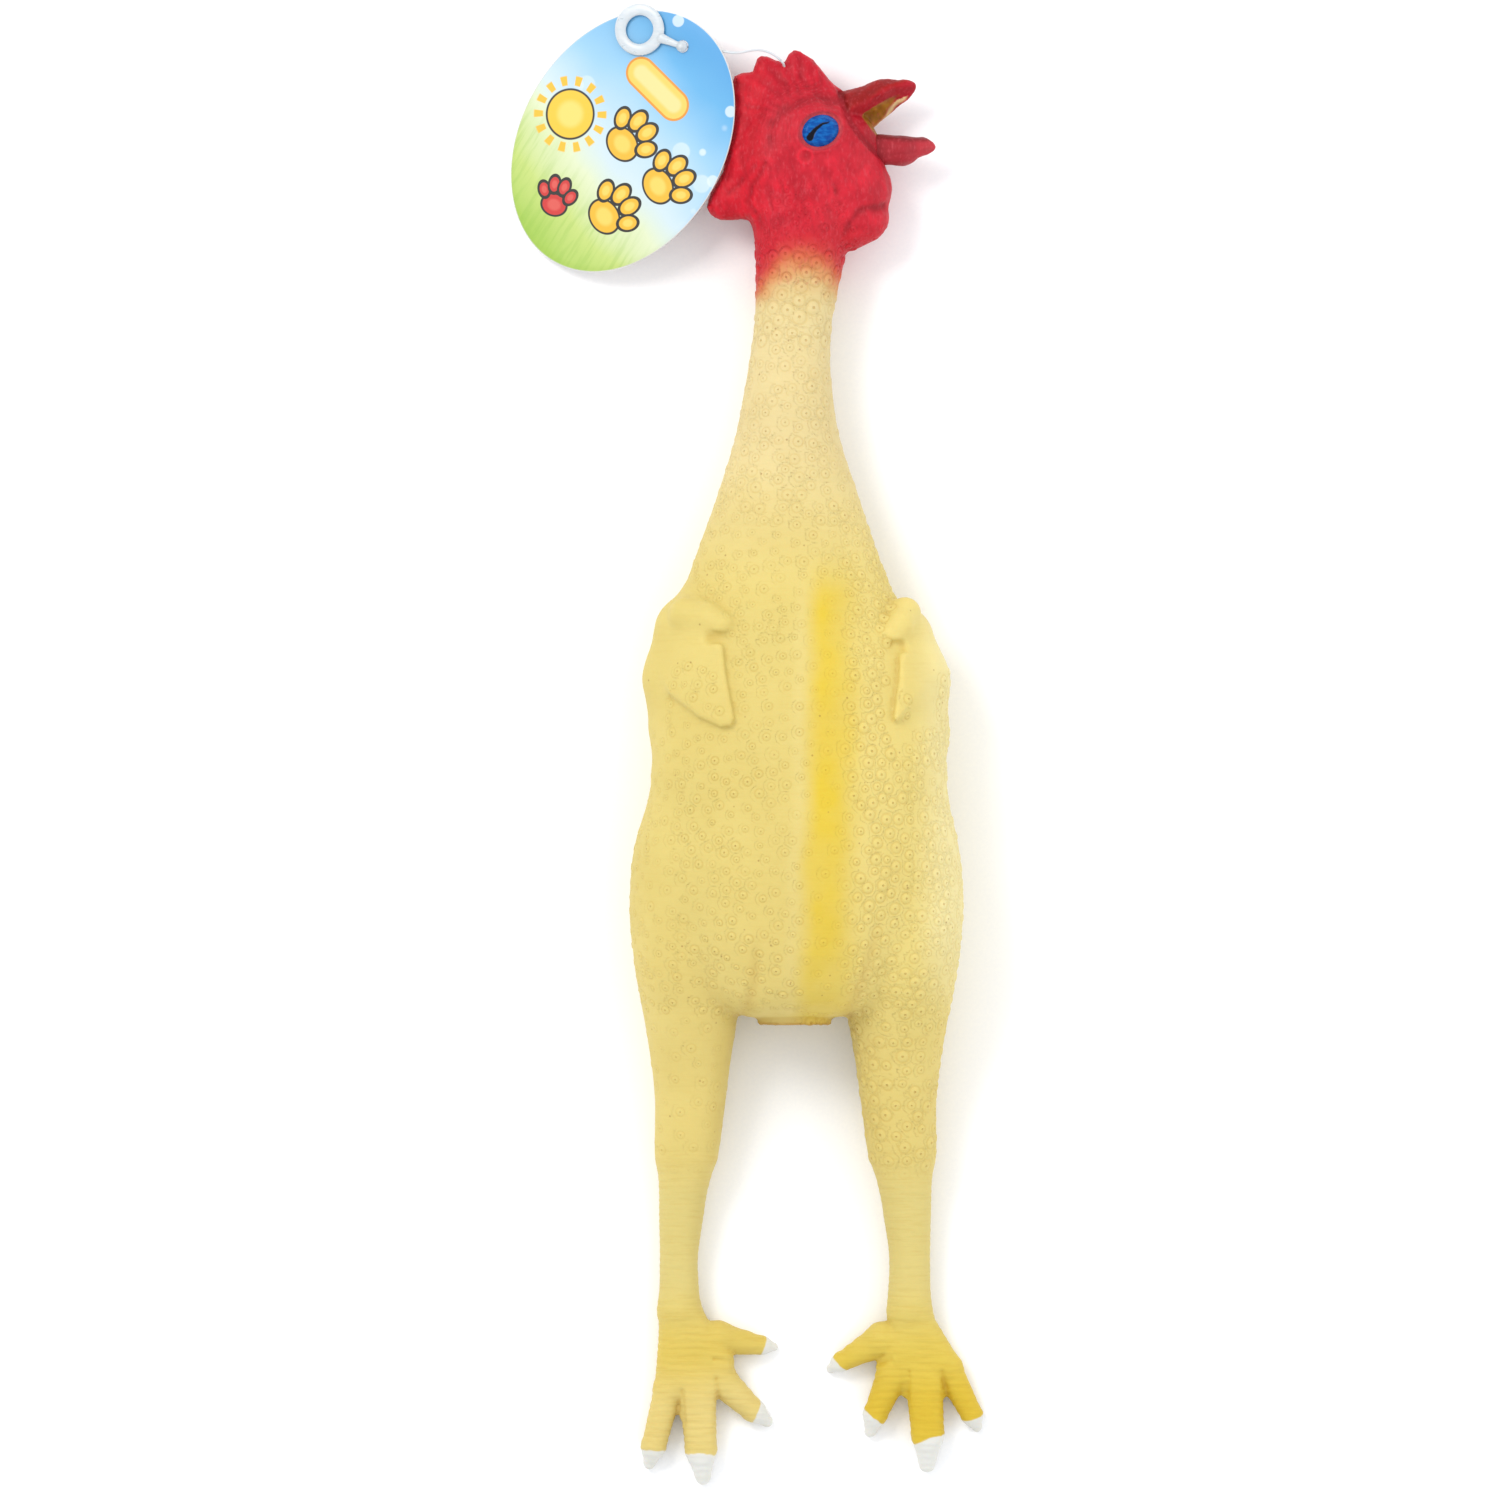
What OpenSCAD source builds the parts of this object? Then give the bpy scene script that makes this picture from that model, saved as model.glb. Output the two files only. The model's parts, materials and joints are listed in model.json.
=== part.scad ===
// Rubber chicken: a hollow latex toy lying on its back, head towards +Y and feet towards -Y, with a squeaker
// pressed into its vent and a card tag hung from its comb. Millimetres, +Z up from the surface it lies on.
// The latex is cut at the places where it bends, with a soft fold in each gap.

/* [Skin] */
// Thickness of the latex
wall = 2; // [1.6:0.1:2.4]
// Gap left between neighbouring pieces of skin
gap = 0.3; // [0.2:0.05:0.4]
// Corners of each cross-section of the trunk
trunk_sides = 40; // [24:2:44]
// Corners of each cross-section of a leg
leg_sides = 20; // [16:2:24]

/* [Breast] */
// Height of the breast ridge over the belly
keel_h = 4; // [2:0.5:5]
// Sideways reach of the breast ridge
keel_w = 11; // [8:1:14]
// Height above which the belly is a panel that gives when pressed
panel_z = 57.5; // [56.5:0.5:58.5]
// Height at which the fold round that panel starts
fold_z = 54; // [53:0.5:54.5]

/* [Bends] */
// Place of the bend at the bottom of the neck, along the body
neck_base_y = 74; // [73:1:75]
// Length of that fold
neck_base_l = 28; // [27:1:29]
// Place of the bend half way up the neck
neck_mid_y = 112; // [111:1:113]
// Length of that fold
neck_mid_l = 20; // [19:1:21]
// Place of the bend under the head
neck_top_y = 156; // [155:1:157]
// Length of that fold
neck_top_l = 16; // [15:1:16]
// Place of the bend at the top of each leg
hip_y = -82; // [-83:1:-82]
// Length of that fold
hip_l = 20; // [19:1:20]
// Place of the bend at each hock
hock_y = -120; // [-121:1:-119]
// Length of that fold
hock_l = 16; // [15:1:17]
// Place of the bend at each ankle
ankle_y = -156; // [-157:1:-155]
// Length of that fold
ankle_l = 12; // [11:1:12]

/* [Head] */
// Height of the middle of the head, which lies on its side
head_z = 16; // [15.8:0.1:16.4]
// Thickness of the comb
comb_t = 6; // [5:0.5:7]
// Radius of each eye
eye_r = 5.7; // [5:0.1:6]
// Radius of the lower beak's root, which turns in the cheek
beak_root_r = 5.6; // [5.4:0.1:5.8]

/* [Tag] */
// Length of the oval card
tag_l = 90; // [88:1:92]
// Width of the oval card
tag_w = 68; // [66:1:70]
// Thickness of the card
tag_t = 0.6; // [0.5:0.1:0.8]
// Radius of the punched hole
tag_hole_r = 2; // [1.8:0.1:2.4]
// Slope of the card, which leans on the back of the head
tag_lean = 18; // [17.5:0.5:18.5]
// Turn of the card on the surface
tag_turn = 34; // [33:1:35]
// Radius of the hole in the hanging ring
ring_r = 4.5; // [4:0.1:4.8]
// Outer radius of the hanging ring
ring_out_r = 8.4; // [8:0.1:8.8]
// Thickness of the hanging ring
ring_t = 1.4; // [1.2:0.1:1.6]
// Thickness of the filament
filament_d = 0.8; // [0.6:0.1:1]

/* [Squeaker] */
// Outer radius of the barrel
barrel_r = 9.1; // [8.6:0.1:9.4]
// Length of the barrel
barrel_l = 14; // [12:0.5:16]
// Radius of the air hole in its cap
air_hole_r = 1.5; // [1:0.1:2]

/* [Hidden] */

skin_yellow = [0.91, 0.83, 0.51];
foot_yellow = [0.90, 0.79, 0.37];
comb_red = [0.81, 0.19, 0.24];
beak_red = [0.60, 0.08, 0.13];

LEFT = -1;
RIGHT = 1;
legs_x = -1.8;    // middle between the legs
squareness = 2.2;    // exponent of the cross-sections: 2 is an ellipse
fullness = [0.97, 1.04];    // the left leg is a little slimmer than the right one

// Trunk from vent to head: y, middle x, half width, bottom z, top z. What is below z = 0 is flattened.
trunk = [
  [-70, -1.8, 18, 9, 40], [-66, -1.8, 25, 4, 48], [-58, -1.8, 32, 0, 54], [-44, -1.5, 40, -2, 59],
  [-24, -0.9, 46, -3, 61], [0, -0.4, 47.2, -3, 60], [20, -0.5, 46.5, -3, 58], [36, -1.4, 43.4, -2, 55],
  [52, -2.8, 38.6, -1, 50.5], [64, -3.7, 34.2, 0, 47], [77, -4.1, 29.4, 0.5, 43.5], [96, -3.9, 22.8, 1.3, 38.5],
  [115, -4, 16.8, 2, 34.6], [128, -3.8, 14.4, 2.4, 32.2], [141, -3.2, 12.8, 2.8, 30.2], [153, -2.1, 12.4, 3, 29.2],
  [166, -0.7, 13.4, 3, 29], [180, 0.3, 13.6, 3, 29]
];
// Ridge of the breast: y, x
keel_line = [[-70, 4], [-40, 5], [0, 8], [40, 9], [64, 6], [96, 0], [180, 0]];
// One leg from inside the belly to the ankle: y, distance from legs_x, half width, bottom z, top z
leg = [
  [-166, 36.9, 6.9, 0.5, 13.2], [-160, 36.9, 6.6, 0.5, 13.2], [-147, 37, 6.3, 0.7, 14], [-134, 36.2, 7.3, 1, 16],
  [-128, 35.8, 7.8, 1.2, 17.2], [-121, 35.1, 8.8, 1.4, 19.4], [-115, 34.6, 10.4, 1.5, 22], [-96, 33.3, 11.7, 2.4, 27.5],
  [-83, 33.2, 13.3, 2.8, 32], [-70, 33.2, 15.4, 3, 38], [-58, 34.2, 16.7, 2.6, 44], [-45, 34.8, 17.8, 2.2, 48],
  [-32, 34.6, 18.6, 2, 49], [-13, 33, 18, 3, 47], [4, 28, 15, 8, 42]
];
// Each toe: base x and y from the ankle, nail's start, nail's tip, then the radius at the base and at the nail
left_toes = [
  [[12.4, -11.9], [26.8, -15.4], [31.5, -16.3], 6, 2.7], [[13.5, -26.3], [25.2, -37.6], [29.1, -40.7], 5, 3.1],
  [[6.3, -30.7], [7.4, -51.2], [7.8, -59.3], 5.2, 4.3], [[-2.6, -29.6], [-8.4, -49.3], [-9.4, -54], 4.6, 3.3]
];
right_toes = [
  [[-8.7, -13], [-22.6, -20.7], [-26.4, -23.5], 6, 2.8], [[-5.4, -24], [-11.1, -39], [-12.6, -44.3], 5, 3.3],
  [[4.6, -27.4], [5.9, -46.8], [5.7, -55.1], 5.4, 4.4], [[11.8, -22.9], [20.3, -38.7], [22, -42.6], 5, 2.9]
];
// Soft balls inside the head: x, y, radius
crown = [1, 213, 14.4];
brow = [12, 208, 12.6];
nape = [-7, 205, 11.5];
cheek = [18.6, 195, 11];
wattle = [20.4, 185.6, 8.4];
comb_outline = [
  [8, 222], [10.2, 231], [5.8, 236.5], [-0.9, 239.8], [-3.7, 235.2], [-12.2, 237.3], [-13.3, 233], [-19.9, 230.6],
  [-21, 222], [-12, 212]
];
cape_outline = [
  [-21, 224], [-22.2, 214], [-24.4, 202], [-28.2, 190], [-27.9, 187], [-22.9, 184.8], [-15.7, 186.6], [-11, 194],
  [-8, 210]
];
beak_root = [25, 208.2];
eye_at = [6.5, 213.3];
eye_lift = 13.6;    // how far the middle of each eye is from the middle of the head

vent = [-1.8, -70, 24.5];
tag_hole = [-37.4, 240.6];
ring_from_hole = [-14.1, 5.5];
pierced = [-4.6, 231.5];    // where the filament goes through the comb
tag_hole_z = 18.4;
tag_hole_up = 36.3;    // from the card's middle to its hole
e = 0.01;

// Smooth curve through a table's rows, at y
function slope(t, i, k) = let (a = max(i - 1, 0), b = min(i + 1, len(t) - 1)) (t[b][k] - t[a][k]) / (t[b][0] - t[a][0]);
function row_under(t, y, i = 0) = i >= len(t) - 2 || y <= t[i + 1][0] ? i : row_under(t, y, i + 1);
function hermite(a, b, ma, mb, h, s) =
  (2 * s ^ 3 - 3 * s ^ 2 + 1) * a + (s ^ 3 - 2 * s ^ 2 + s) * h * ma
  + (-2 * s ^ 3 + 3 * s ^ 2) * b + (s ^ 3 - s ^ 2) * h * mb;
function at(t, y) = let (i = row_under(t, y), h = t[i + 1][0] - t[i][0], s = (y - t[i][0]) / h)
  [for (k = [1:len(t[0]) - 1]) hermite(t[i][k], t[i + 1][k], slope(t, i, k), slope(t, i + 1, k), h, s)];

function sign_pow(v, p) = sign(v) * abs(v) ^ p;
function keel(x, y, up) = up <= 0 ? 0 : keel_h * up * exp(-((x - lookup(y, keel_line)) / keel_w) ^ 2) * lookup(y, [[-70, 0.3], [-50, 1], [50, 1], [90, 0]]);
// One cross-section, grown by g, as points round the y axis
function trunk_ring(y, g, sides) = let (s = at(trunk, y), mid = (s[2] + s[3]) / 2, half = (s[3] - s[2]) / 2)
  [for (i = [0:sides - 1]) let (
    a = 360 * i / sides,
    x = s[0] + (s[1] + g) * sign_pow(cos(a), 2 / squareness),
    up = sin(a),
    z = mid + (half + g) * sign_pow(up, 2 / squareness)
  ) [x, y, max(z + keel(x, y, up), -g)]];
function leg_ring(side, y, g, sides) = let (
    s = at(leg, y), f = fullness[side > 0 ? 1 : 0], mid = (s[2] + s[3]) / 2, half = (s[3] - s[2]) / 2
  )
  [for (i = [0:sides - 1]) let (a = 360 * i / sides)
    [legs_x + side * s[0] + (s[1] * f + g) * cos(a), y, mid + (half + g) * sin(a)]];

// Rings at even steps from y0 to y1
function steps(y0, y1, n) = [for (i = [0:n]) y0 + (y1 - y0) * i / n];
function joined(lists) = [for (l = lists) each l];

// A tube's skin: outer rings, then the inner ones back again, so that the faces close on themselves
module ring_skin(outer, inner) {
  n = len(outer[0]);
  m = len(outer);
  rings = concat(outer, [for (i = [m - 1:-1:0]) inner[i]]);
  count = 2 * m;
  polyhedron(joined(rings), [
    for (i = [0:count - 1], j = [0:n - 1]) let (
      a = i * n + j, b = i * n + (j + 1) % n,
      c = ((i + 1) % count) * n + j, d = ((i + 1) % count) * n + (j + 1) % n
    ) each [[a, b, c], [b, d, c]]
  ], convexity = 6);
}

module trunk_tube(y0, y1, n = 4)
  ring_skin(
    [for (y = steps(y0, y1, n)) trunk_ring(y, 0, trunk_sides)],
    [for (y = steps(y0, y1, n)) trunk_ring(y, -wall, trunk_sides)]
  );

module leg_tube(side, y0, y1, n = 4)
  ring_skin(
    [for (y = steps(y0, y1, n)) leg_ring(side, y, 0, leg_sides)],
    [for (y = steps(y0, y1, n)) leg_ring(side, y, -wall, leg_sides)]
  );

// A solid through rings, one convex stretch at a time
module lofted(rings) {
  n = len(rings[0]);
  for (i = [0:len(rings) - 2]) hull() polyhedron(concat(rings[i], rings[i + 1]), concat(
    [[for (j = [0:n - 1]) j], [for (j = [n - 1:-1:0]) n + j]],
    [for (j = [0:n - 1]) let (k = (j + 1) % n) each [[k, j, n + j], [k, n + j, n + k]]]
  ));
}

module trunk_solid(g, y0, y1)
  lofted([for (y = steps(y0, y1, 14)) trunk_ring(y, g, trunk_sides)]);

module leg_root_solid(side, g, y1)
  lofted([for (y = steps(y1, 0, 7)) leg_ring(side, y, g, leg_sides)]);

module ball(x, y, z, r, sides = 16) translate([x, y, z]) sphere(r, $fn = sides);

// Folded wing: an upper arm with its thumb, a plump middle and a pointed tip
module wing(side) {
  in = side < 0 ? 0 : 7;    // the right wing sits further round the side
  hull() {
    ball(side * 37, 55, 36, 9);
    ball(side * (24 + in), 54, 42, 4);
  }
  hull() {
    ball(side * 37, 55, 36, 9);
    ball(side * 39.5, 40, 33, 9.5);
  }
  hull() {
    ball(side * 39, 40, 34, 9);
    ball(side * (25 + in), 25, 45, 3);
  }
}

// The inner one, with g below zero, reaches out through the mouths of its tubes but not through the vent
module trunk_with_legs(g, leg_end) {
  trunk_solid(g, vent[1] - g, neck_base_y - neck_base_l / 2 + (g < 0 ? 1 : 0));
  for (side = [LEFT, RIGHT]) leg_root_solid(side, g, leg_end - (g < 0 ? 1 : 0));
}

module torso_skin() {
  leg_end = hip_y + hip_l / 2;
  neck_end = neck_base_y - neck_base_l / 2;
  color(skin_yellow) difference() {
    union() {
      trunk_with_legs(0, leg_end);
      for (side = [LEFT, RIGHT]) wing(side);
    }
    trunk_with_legs(-wall, leg_end);
    // the opening that the belly's fold closes, and the hole for the squeaker
    translate([-60, vent[1] - 5, fold_z]) cube([120, neck_end - vent[1] + 10, 40]);
    translate(vent) rotate([90, 0, 0]) cylinder(r = barrel_r + 0.03, h = 3 * wall, center = true, $fn = 64);
    // the wings' shoulders stop at the neck's fold
    translate([-60, neck_end, -1]) cube([120, 20, 80]);
  }
}

module belly_slice(z0, z1)
  intersection() {
    difference() {
      trunk_solid(0, vent[1], neck_base_y - neck_base_l / 2);
      trunk_solid(-wall, vent[1] + wall, neck_base_y - neck_base_l / 2 + 1);
    }
    translate([-60, -100, z0]) cube([120, 200, z1 - z0]);
  }

module belly_panel() color(skin_yellow) belly_slice(panel_z, panel_z + 20);
module belly_fold() color(skin_yellow) belly_slice(fold_z + gap, panel_z - gap);

module fold_of_neck(y, l) color(skin_yellow) trunk_tube(y - l / 2 + gap, y + l / 2 - gap);
module neck_base_fold() fold_of_neck(neck_base_y, neck_base_l);
module neck_mid_fold() fold_of_neck(neck_mid_y, neck_mid_l);
module neck_top_fold() fold_of_neck(neck_top_y, neck_top_l);
module neck_lower_skin() color(skin_yellow) trunk_tube(neck_base_y + neck_base_l / 2, neck_mid_y - neck_mid_l / 2, 3);
module neck_upper_skin() color(skin_yellow) trunk_tube(neck_mid_y + neck_mid_l / 2, neck_top_y - neck_top_l / 2, 4);

// Two balls of the head as one smooth lump
module lump(a, b, g = 0, sides = 24)
  hull() for (c = [a, b]) ball(c[0], c[1], head_z, c[2] + g, sides);

module skull(g) {
  lump(crown, brow, g);
  lump(crown, nape, g);
  lump(brow, cheek, g);
  lump(cheek, wattle, g);
  lump(nape, cheek, g);
  hull() {
    ball(nape[0], nape[1], head_z, nape[2] + g, 24);
    ball(brow[0], brow[1], head_z, brow[2] + g, 24);
    translate([0.3, neck_top_y + neck_top_l / 2, head_z]) rotate([-90, 0, 0]) cylinder(r = 12.8 + g, h = 12, $fn = 32);
  }
}

module plate(outline, t) translate([0, 0, head_z - t / 2]) linear_extrude(t) polygon(outline);

// Upper half of the beak, hollow underneath where the mouth opens
module upper_beak() difference() {
  hull() {
    ball(19, 221, head_z, 6.4);
    ball(30, 226.2, head_z, 3.8);
    ball(36.4, 227.8, head_z, 1.8);
  }
  hull() {
    ball(24.6, 216.8, head_z, 3.2);
    ball(33, 222.2, head_z, 2);
  }
}

module head_skin() color(comb_red) difference() {
  union() {
    skull(0);
    plate(comb_outline, comb_t);
    plate(cape_outline, comb_t + 1);
    upper_beak();
    // eyelids
    translate([eye_at[0], eye_at[1], head_z]) cylinder(r = eye_r + 0.9, h = 2 * eye_lift - 1, center = true, $fn = 40);
  }
  skull(-wall);
  translate([beak_root[0], beak_root[1], head_z]) cylinder(r = beak_root_r + 2 * gap, h = 40, center = true, $fn = 32);
  translate([pierced[0], pierced[1], head_z]) cylinder(d = filament_d + 0.6, h = 2 * comb_t, center = true, $fn = 16);
  translate([-40, neck_top_y + neck_top_l / 2 - 20, 0]) cube([80, 20, 40]);
  for (s = [-1, 1]) translate([eye_at[0], eye_at[1], head_z + s * (eye_lift - eye_depth + 5)])
    cylinder(r = eye_r + 0.03, h = 10, center = true, $fn = 64);
}

eye_depth = 1.6;
module eyes() color("royalblue") for (s = [-1, 1])
  translate([eye_at[0], eye_at[1], head_z + s * eye_lift]) mirror([0, 0, s < 0 ? 1 : 0]) scale(1)
    rotate_extrude($fn = 40)
      polygon([[0, -eye_depth], [eye_r, -eye_depth], [eye_r, -0.6], [eye_r * 0.7, 0.7], [0, 1.3]]);

module lower_beak() color(beak_red) union() {
  hull() {
    translate([beak_root[0], beak_root[1], head_z]) cylinder(r = beak_root_r, h = 10, center = true, $fn = 32);
    ball(36, 209.8, head_z, 2.9);
  }
  hull() {
    ball(36, 209.8, head_z, 2.9);
    ball(42.6, 209.2, head_z, 1.7);
  }
}

module leg_piece(side, y0, y1, n = 4) color(skin_yellow) leg_tube(side, y0, y1, n);
module hip_fold(side) leg_piece(side, hip_y - hip_l / 2 + gap, hip_y + hip_l / 2 - gap);
module thigh_skin(side) leg_piece(side, hock_y + hock_l / 2, hip_y - hip_l / 2, 3);
module hock_fold(side) leg_piece(side, hock_y - hock_l / 2 + gap, hock_y + hock_l / 2 - gap);
module shank_skin(side) leg_piece(side, ankle_y + ankle_l / 2, hock_y - hock_l / 2, 3);
module ankle_fold(side) leg_piece(side, ankle_y - ankle_l / 2 + gap, ankle_y + ankle_l / 2 - gap, 3);

function ankle_x(side) = legs_x + side * 36.9;
// The toes' places are from a point at the leg's end, y = -160
module foot_ball(side, p, r) ball(ankle_x(side) + p[0], -160 + p[1], max(r, 1) + 0.2, r, 14);

module foot_skin(side, toes) color(foot_yellow) {
  heel = [ankle_x(side), ankle_y - ankle_l / 2, 6.9];
  palm = (toes[1][0] + toes[2][0]) / 2 + [-1.5 * side, 7];
  difference() {
    union() {
      hull() {
        translate(heel) rotate([90, 0, 0]) cylinder(r = 6.3, h = 1, $fn = 20);
        for (t = [toes[1], toes[3]]) foot_ball(side, t[0], t[3]);
      }
      for (t = toes) hull() {
        foot_ball(side, t[0], t[3]);
        foot_ball(side, palm, 6.2);
      }
      for (t = toes) hull() {
        foot_ball(side, t[0], t[3]);
        foot_ball(side, t[1], t[4]);
      }
    }
    translate([-80, ankle_y - ankle_l / 2, -1]) cube([160, 30, 30]);
    for (t = toes) claw_space(side, t, 0);
  }
}

// What lies beyond a toe's end, where its claw starts
module claw_space(side, t, g) {
  along = t[2] - t[1];
  translate([ankle_x(side) + t[1][0], -160 + t[1][1], -1]) rotate([0, 0, atan2(along[1], along[0])])
    translate([g, -t[4] - 1, 0]) cube([16, 2 * t[4] + 2, 20]);
}

// White claws, one on each toe
module claws(side, toes) color("ivory") for (t = toes) intersection() {
  hull() {
    foot_ball(side, t[1], t[4]);
    foot_ball(side, t[1] + 0.1 * (t[2] - t[1]), t[4] * 0.98);
    foot_ball(side, t[1] + 0.72 * (t[2] - t[1]), t[4] * 0.42);
  }
  claw_space(side, t, 0.02);
}

// A turned part on the vent's axis: radius and depth inwards
module on_vent(profile) color("white") translate(vent) rotate([-90, 0, 0]) rotate_extrude($fn = 48) polygon(profile);

module squeaker_barrel() on_vent([
  [barrel_r - 1.6, -1.4], [barrel_r + 2, -1.4], [barrel_r + 2, -0.1], [barrel_r, -0.1], [barrel_r, barrel_l],
  [3.6, barrel_l], [3.6, barrel_l - 1.4], [barrel_r - 1.6, barrel_l - 1.4]
]);
module squeaker_cap() on_vent([
  [air_hole_r, -1.2], [barrel_r - 1.7, -1.2], [barrel_r - 1.7, 0.2], [air_hole_r, 0.2]
]);
reed_flat_z = 0.6;
module reed_block() color("gainsboro") difference() {
  translate(vent) rotate([-90, 0, 0]) union() {
    translate([0, 0, 2]) cylinder(r = 3.4, h = barrel_l - 2.4, $fn = 32);
    translate([0, 0, 2]) cylinder(r = barrel_r - 1.7, h = 1.2, $fn = 48);
  }
  translate(vent + [-8, 3.4, reed_flat_z]) cube([16, 30, 8]);
  translate(vent + [-1.2, -1, reed_flat_z - 1.6]) cube([2.4, barrel_l - 3, 8]);
}
module squeaker_reed() color("white")
  translate(vent + [-2, 3.6, reed_flat_z + 0.05]) cube([4, barrel_l - 5.4, 0.25]);

// The card's own frame: origin in its hole, z square to the card
module on_tag() translate([tag_hole[0], tag_hole[1], tag_hole_z]) rotate([0, -tag_lean, 0]) children();

module hang_tag() color("skyblue") on_tag() difference() {
  rotate([0, 0, -tag_turn]) translate([0, -tag_hole_up, 0]) linear_extrude(tag_t)
    polygon([for (i = [0:71]) [tag_w / 2 * cos(5 * i), tag_l / 2 * sin(5 * i)]]);
  translate([0, 0, -1]) cylinder(r = tag_hole_r, h = 3, $fn = 32);
}

// A round filament through its points
module filament(points, d) for (i = [0:len(points) - 2]) hull() for (p = [points[i], points[i + 1]])
  translate(p) sphere(d = d, $fn = 14);

ring_z = tag_t + 0.5;
function from_tag(x, z) = [tag_hole[0] + x * cos(tag_lean) - z * sin(tag_lean), tag_hole_z + x * sin(tag_lean) + z * cos(tag_lean)];
module tag_fastener() color("whitesmoke") {
  on_tag() {
    translate([ring_from_hole[0], ring_from_hole[1], ring_z]) difference() {
      cylinder(r = ring_out_r, h = ring_t, $fn = 64);
      translate([0, 0, -1]) cylinder(r = ring_r, h = ring_t + 2, $fn = 64);
    }
    hull() {
      translate([ring_from_hole[0] * 0.47, ring_from_hole[1] * 0.47, ring_z]) cylinder(r = 1.5, h = ring_t, $fn = 20);
      translate([0, 0, ring_z]) cylinder(r = 0.9, h = 1.2, $fn = 20);
    }
    translate([0, 0, -1.4]) cylinder(d = 1.4, h = ring_z + 2.2, $fn = 20);
  }
  comb_top = head_z + comb_t / 2;
  under_hole = from_tag(0, -1.2);
  under_edge = from_tag(17, -1.3);
  filament([
    [under_hole[0], tag_hole[1], under_hole[1]],
    [under_edge[0], tag_hole[1] - 2.2, under_edge[1]],
    [-11, 236, comb_top + 1.4],
    [pierced[0] - 0.3, pierced[1] + 0.3, comb_top + 1.1],
    [pierced[0], pierced[1], comb_top + 0.2],
    [pierced[0], pierced[1], head_z - comb_t / 2 - 0.8]
  ], filament_d);
  translate([pierced[0] - 3.6, pierced[1], head_z - comb_t / 2 - 1.1]) rotate([0, 90, 0])
    cylinder(d = 1.2, h = 7.2, $fn = 20);
}

torso_skin();
belly_panel();
belly_fold();
neck_base_fold();
neck_lower_skin();
neck_mid_fold();
neck_upper_skin();
neck_top_fold();
head_skin();
eyes();
lower_beak();
hip_fold(LEFT);  // left_hip_fold
thigh_skin(LEFT);  // left_thigh_skin
hock_fold(LEFT);  // left_hock_fold
shank_skin(LEFT);  // left_shank_skin
ankle_fold(LEFT);  // left_ankle_fold
foot_skin(LEFT, left_toes);  // left_foot_skin
claws(LEFT, left_toes);  // left_claws
hip_fold(RIGHT);  // right_hip_fold
thigh_skin(RIGHT);  // right_thigh_skin
hock_fold(RIGHT);  // right_hock_fold
shank_skin(RIGHT);  // right_shank_skin
ankle_fold(RIGHT);  // right_ankle_fold
foot_skin(RIGHT, right_toes);  // right_foot_skin
claws(RIGHT, right_toes);  // right_claws
squeaker_barrel();
squeaker_cap();
reed_block();
squeaker_reed();
tag_fastener();
hang_tag();
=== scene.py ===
import itertools
import json
import math

import bmesh
import bpy
import numpy as np
import openvdb
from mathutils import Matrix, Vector, kdtree


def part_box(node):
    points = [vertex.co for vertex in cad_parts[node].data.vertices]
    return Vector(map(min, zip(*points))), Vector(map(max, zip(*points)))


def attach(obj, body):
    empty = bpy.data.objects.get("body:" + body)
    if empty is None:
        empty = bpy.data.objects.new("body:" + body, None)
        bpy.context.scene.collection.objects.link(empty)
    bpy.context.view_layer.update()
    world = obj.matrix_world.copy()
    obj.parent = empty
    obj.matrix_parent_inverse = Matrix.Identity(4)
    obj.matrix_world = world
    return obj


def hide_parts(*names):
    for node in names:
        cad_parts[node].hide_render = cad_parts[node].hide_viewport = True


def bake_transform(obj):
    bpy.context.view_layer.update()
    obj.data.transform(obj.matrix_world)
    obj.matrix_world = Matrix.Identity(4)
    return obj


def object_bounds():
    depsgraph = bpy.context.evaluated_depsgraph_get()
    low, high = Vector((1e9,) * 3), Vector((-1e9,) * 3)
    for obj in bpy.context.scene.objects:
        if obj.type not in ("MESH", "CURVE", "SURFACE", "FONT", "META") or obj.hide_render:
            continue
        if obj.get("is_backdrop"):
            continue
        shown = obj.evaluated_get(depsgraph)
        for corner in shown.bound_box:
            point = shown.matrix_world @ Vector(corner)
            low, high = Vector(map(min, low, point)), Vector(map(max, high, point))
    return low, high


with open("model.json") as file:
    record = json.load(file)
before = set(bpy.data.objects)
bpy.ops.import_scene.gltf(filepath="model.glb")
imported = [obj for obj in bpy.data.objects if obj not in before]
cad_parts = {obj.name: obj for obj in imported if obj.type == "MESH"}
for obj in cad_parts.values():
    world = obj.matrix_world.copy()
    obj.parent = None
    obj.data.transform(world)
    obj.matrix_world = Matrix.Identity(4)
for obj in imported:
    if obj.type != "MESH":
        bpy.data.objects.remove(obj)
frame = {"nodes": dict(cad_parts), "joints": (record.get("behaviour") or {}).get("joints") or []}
cad_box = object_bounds()

# The skin is sculpted in millimetres in the row frame: one closed surface from comb to claws,
# cut where the CAD is cut.
MM = 0.001
rng = np.random.default_rng(7)


def middle(node):
    lo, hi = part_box(node)
    return np.array((lo + hi) / 2) / MM


def lowest(node, axis=1):
    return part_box(node)[0][axis] / MM


def highest(node, axis=1):
    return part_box(node)[1][axis] / MM


def joint_at(child):
    return np.array([j["pos_m"] for j in frame["joints"] if j["child"] == child][0]) / MM


# ---------------------------------------------------------------- shapes as distances

def smooth(a, b, x):
    t = np.clip((x - a) / (b - a), 0, 1)
    return t * t * (3 - 2 * t)


def bell(x, width):
    return np.exp(-((x / width) ** 2))


def fade(a, b, t):
    return a * (1 - t) + b * t


def join(a, b, k):
    h = np.maximum(k - np.abs(a - b), 0) / k
    return np.minimum(a, b) - h * h * k / 4


def cut(a, b, k):
    return -join(-a, -b, k)


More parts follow.
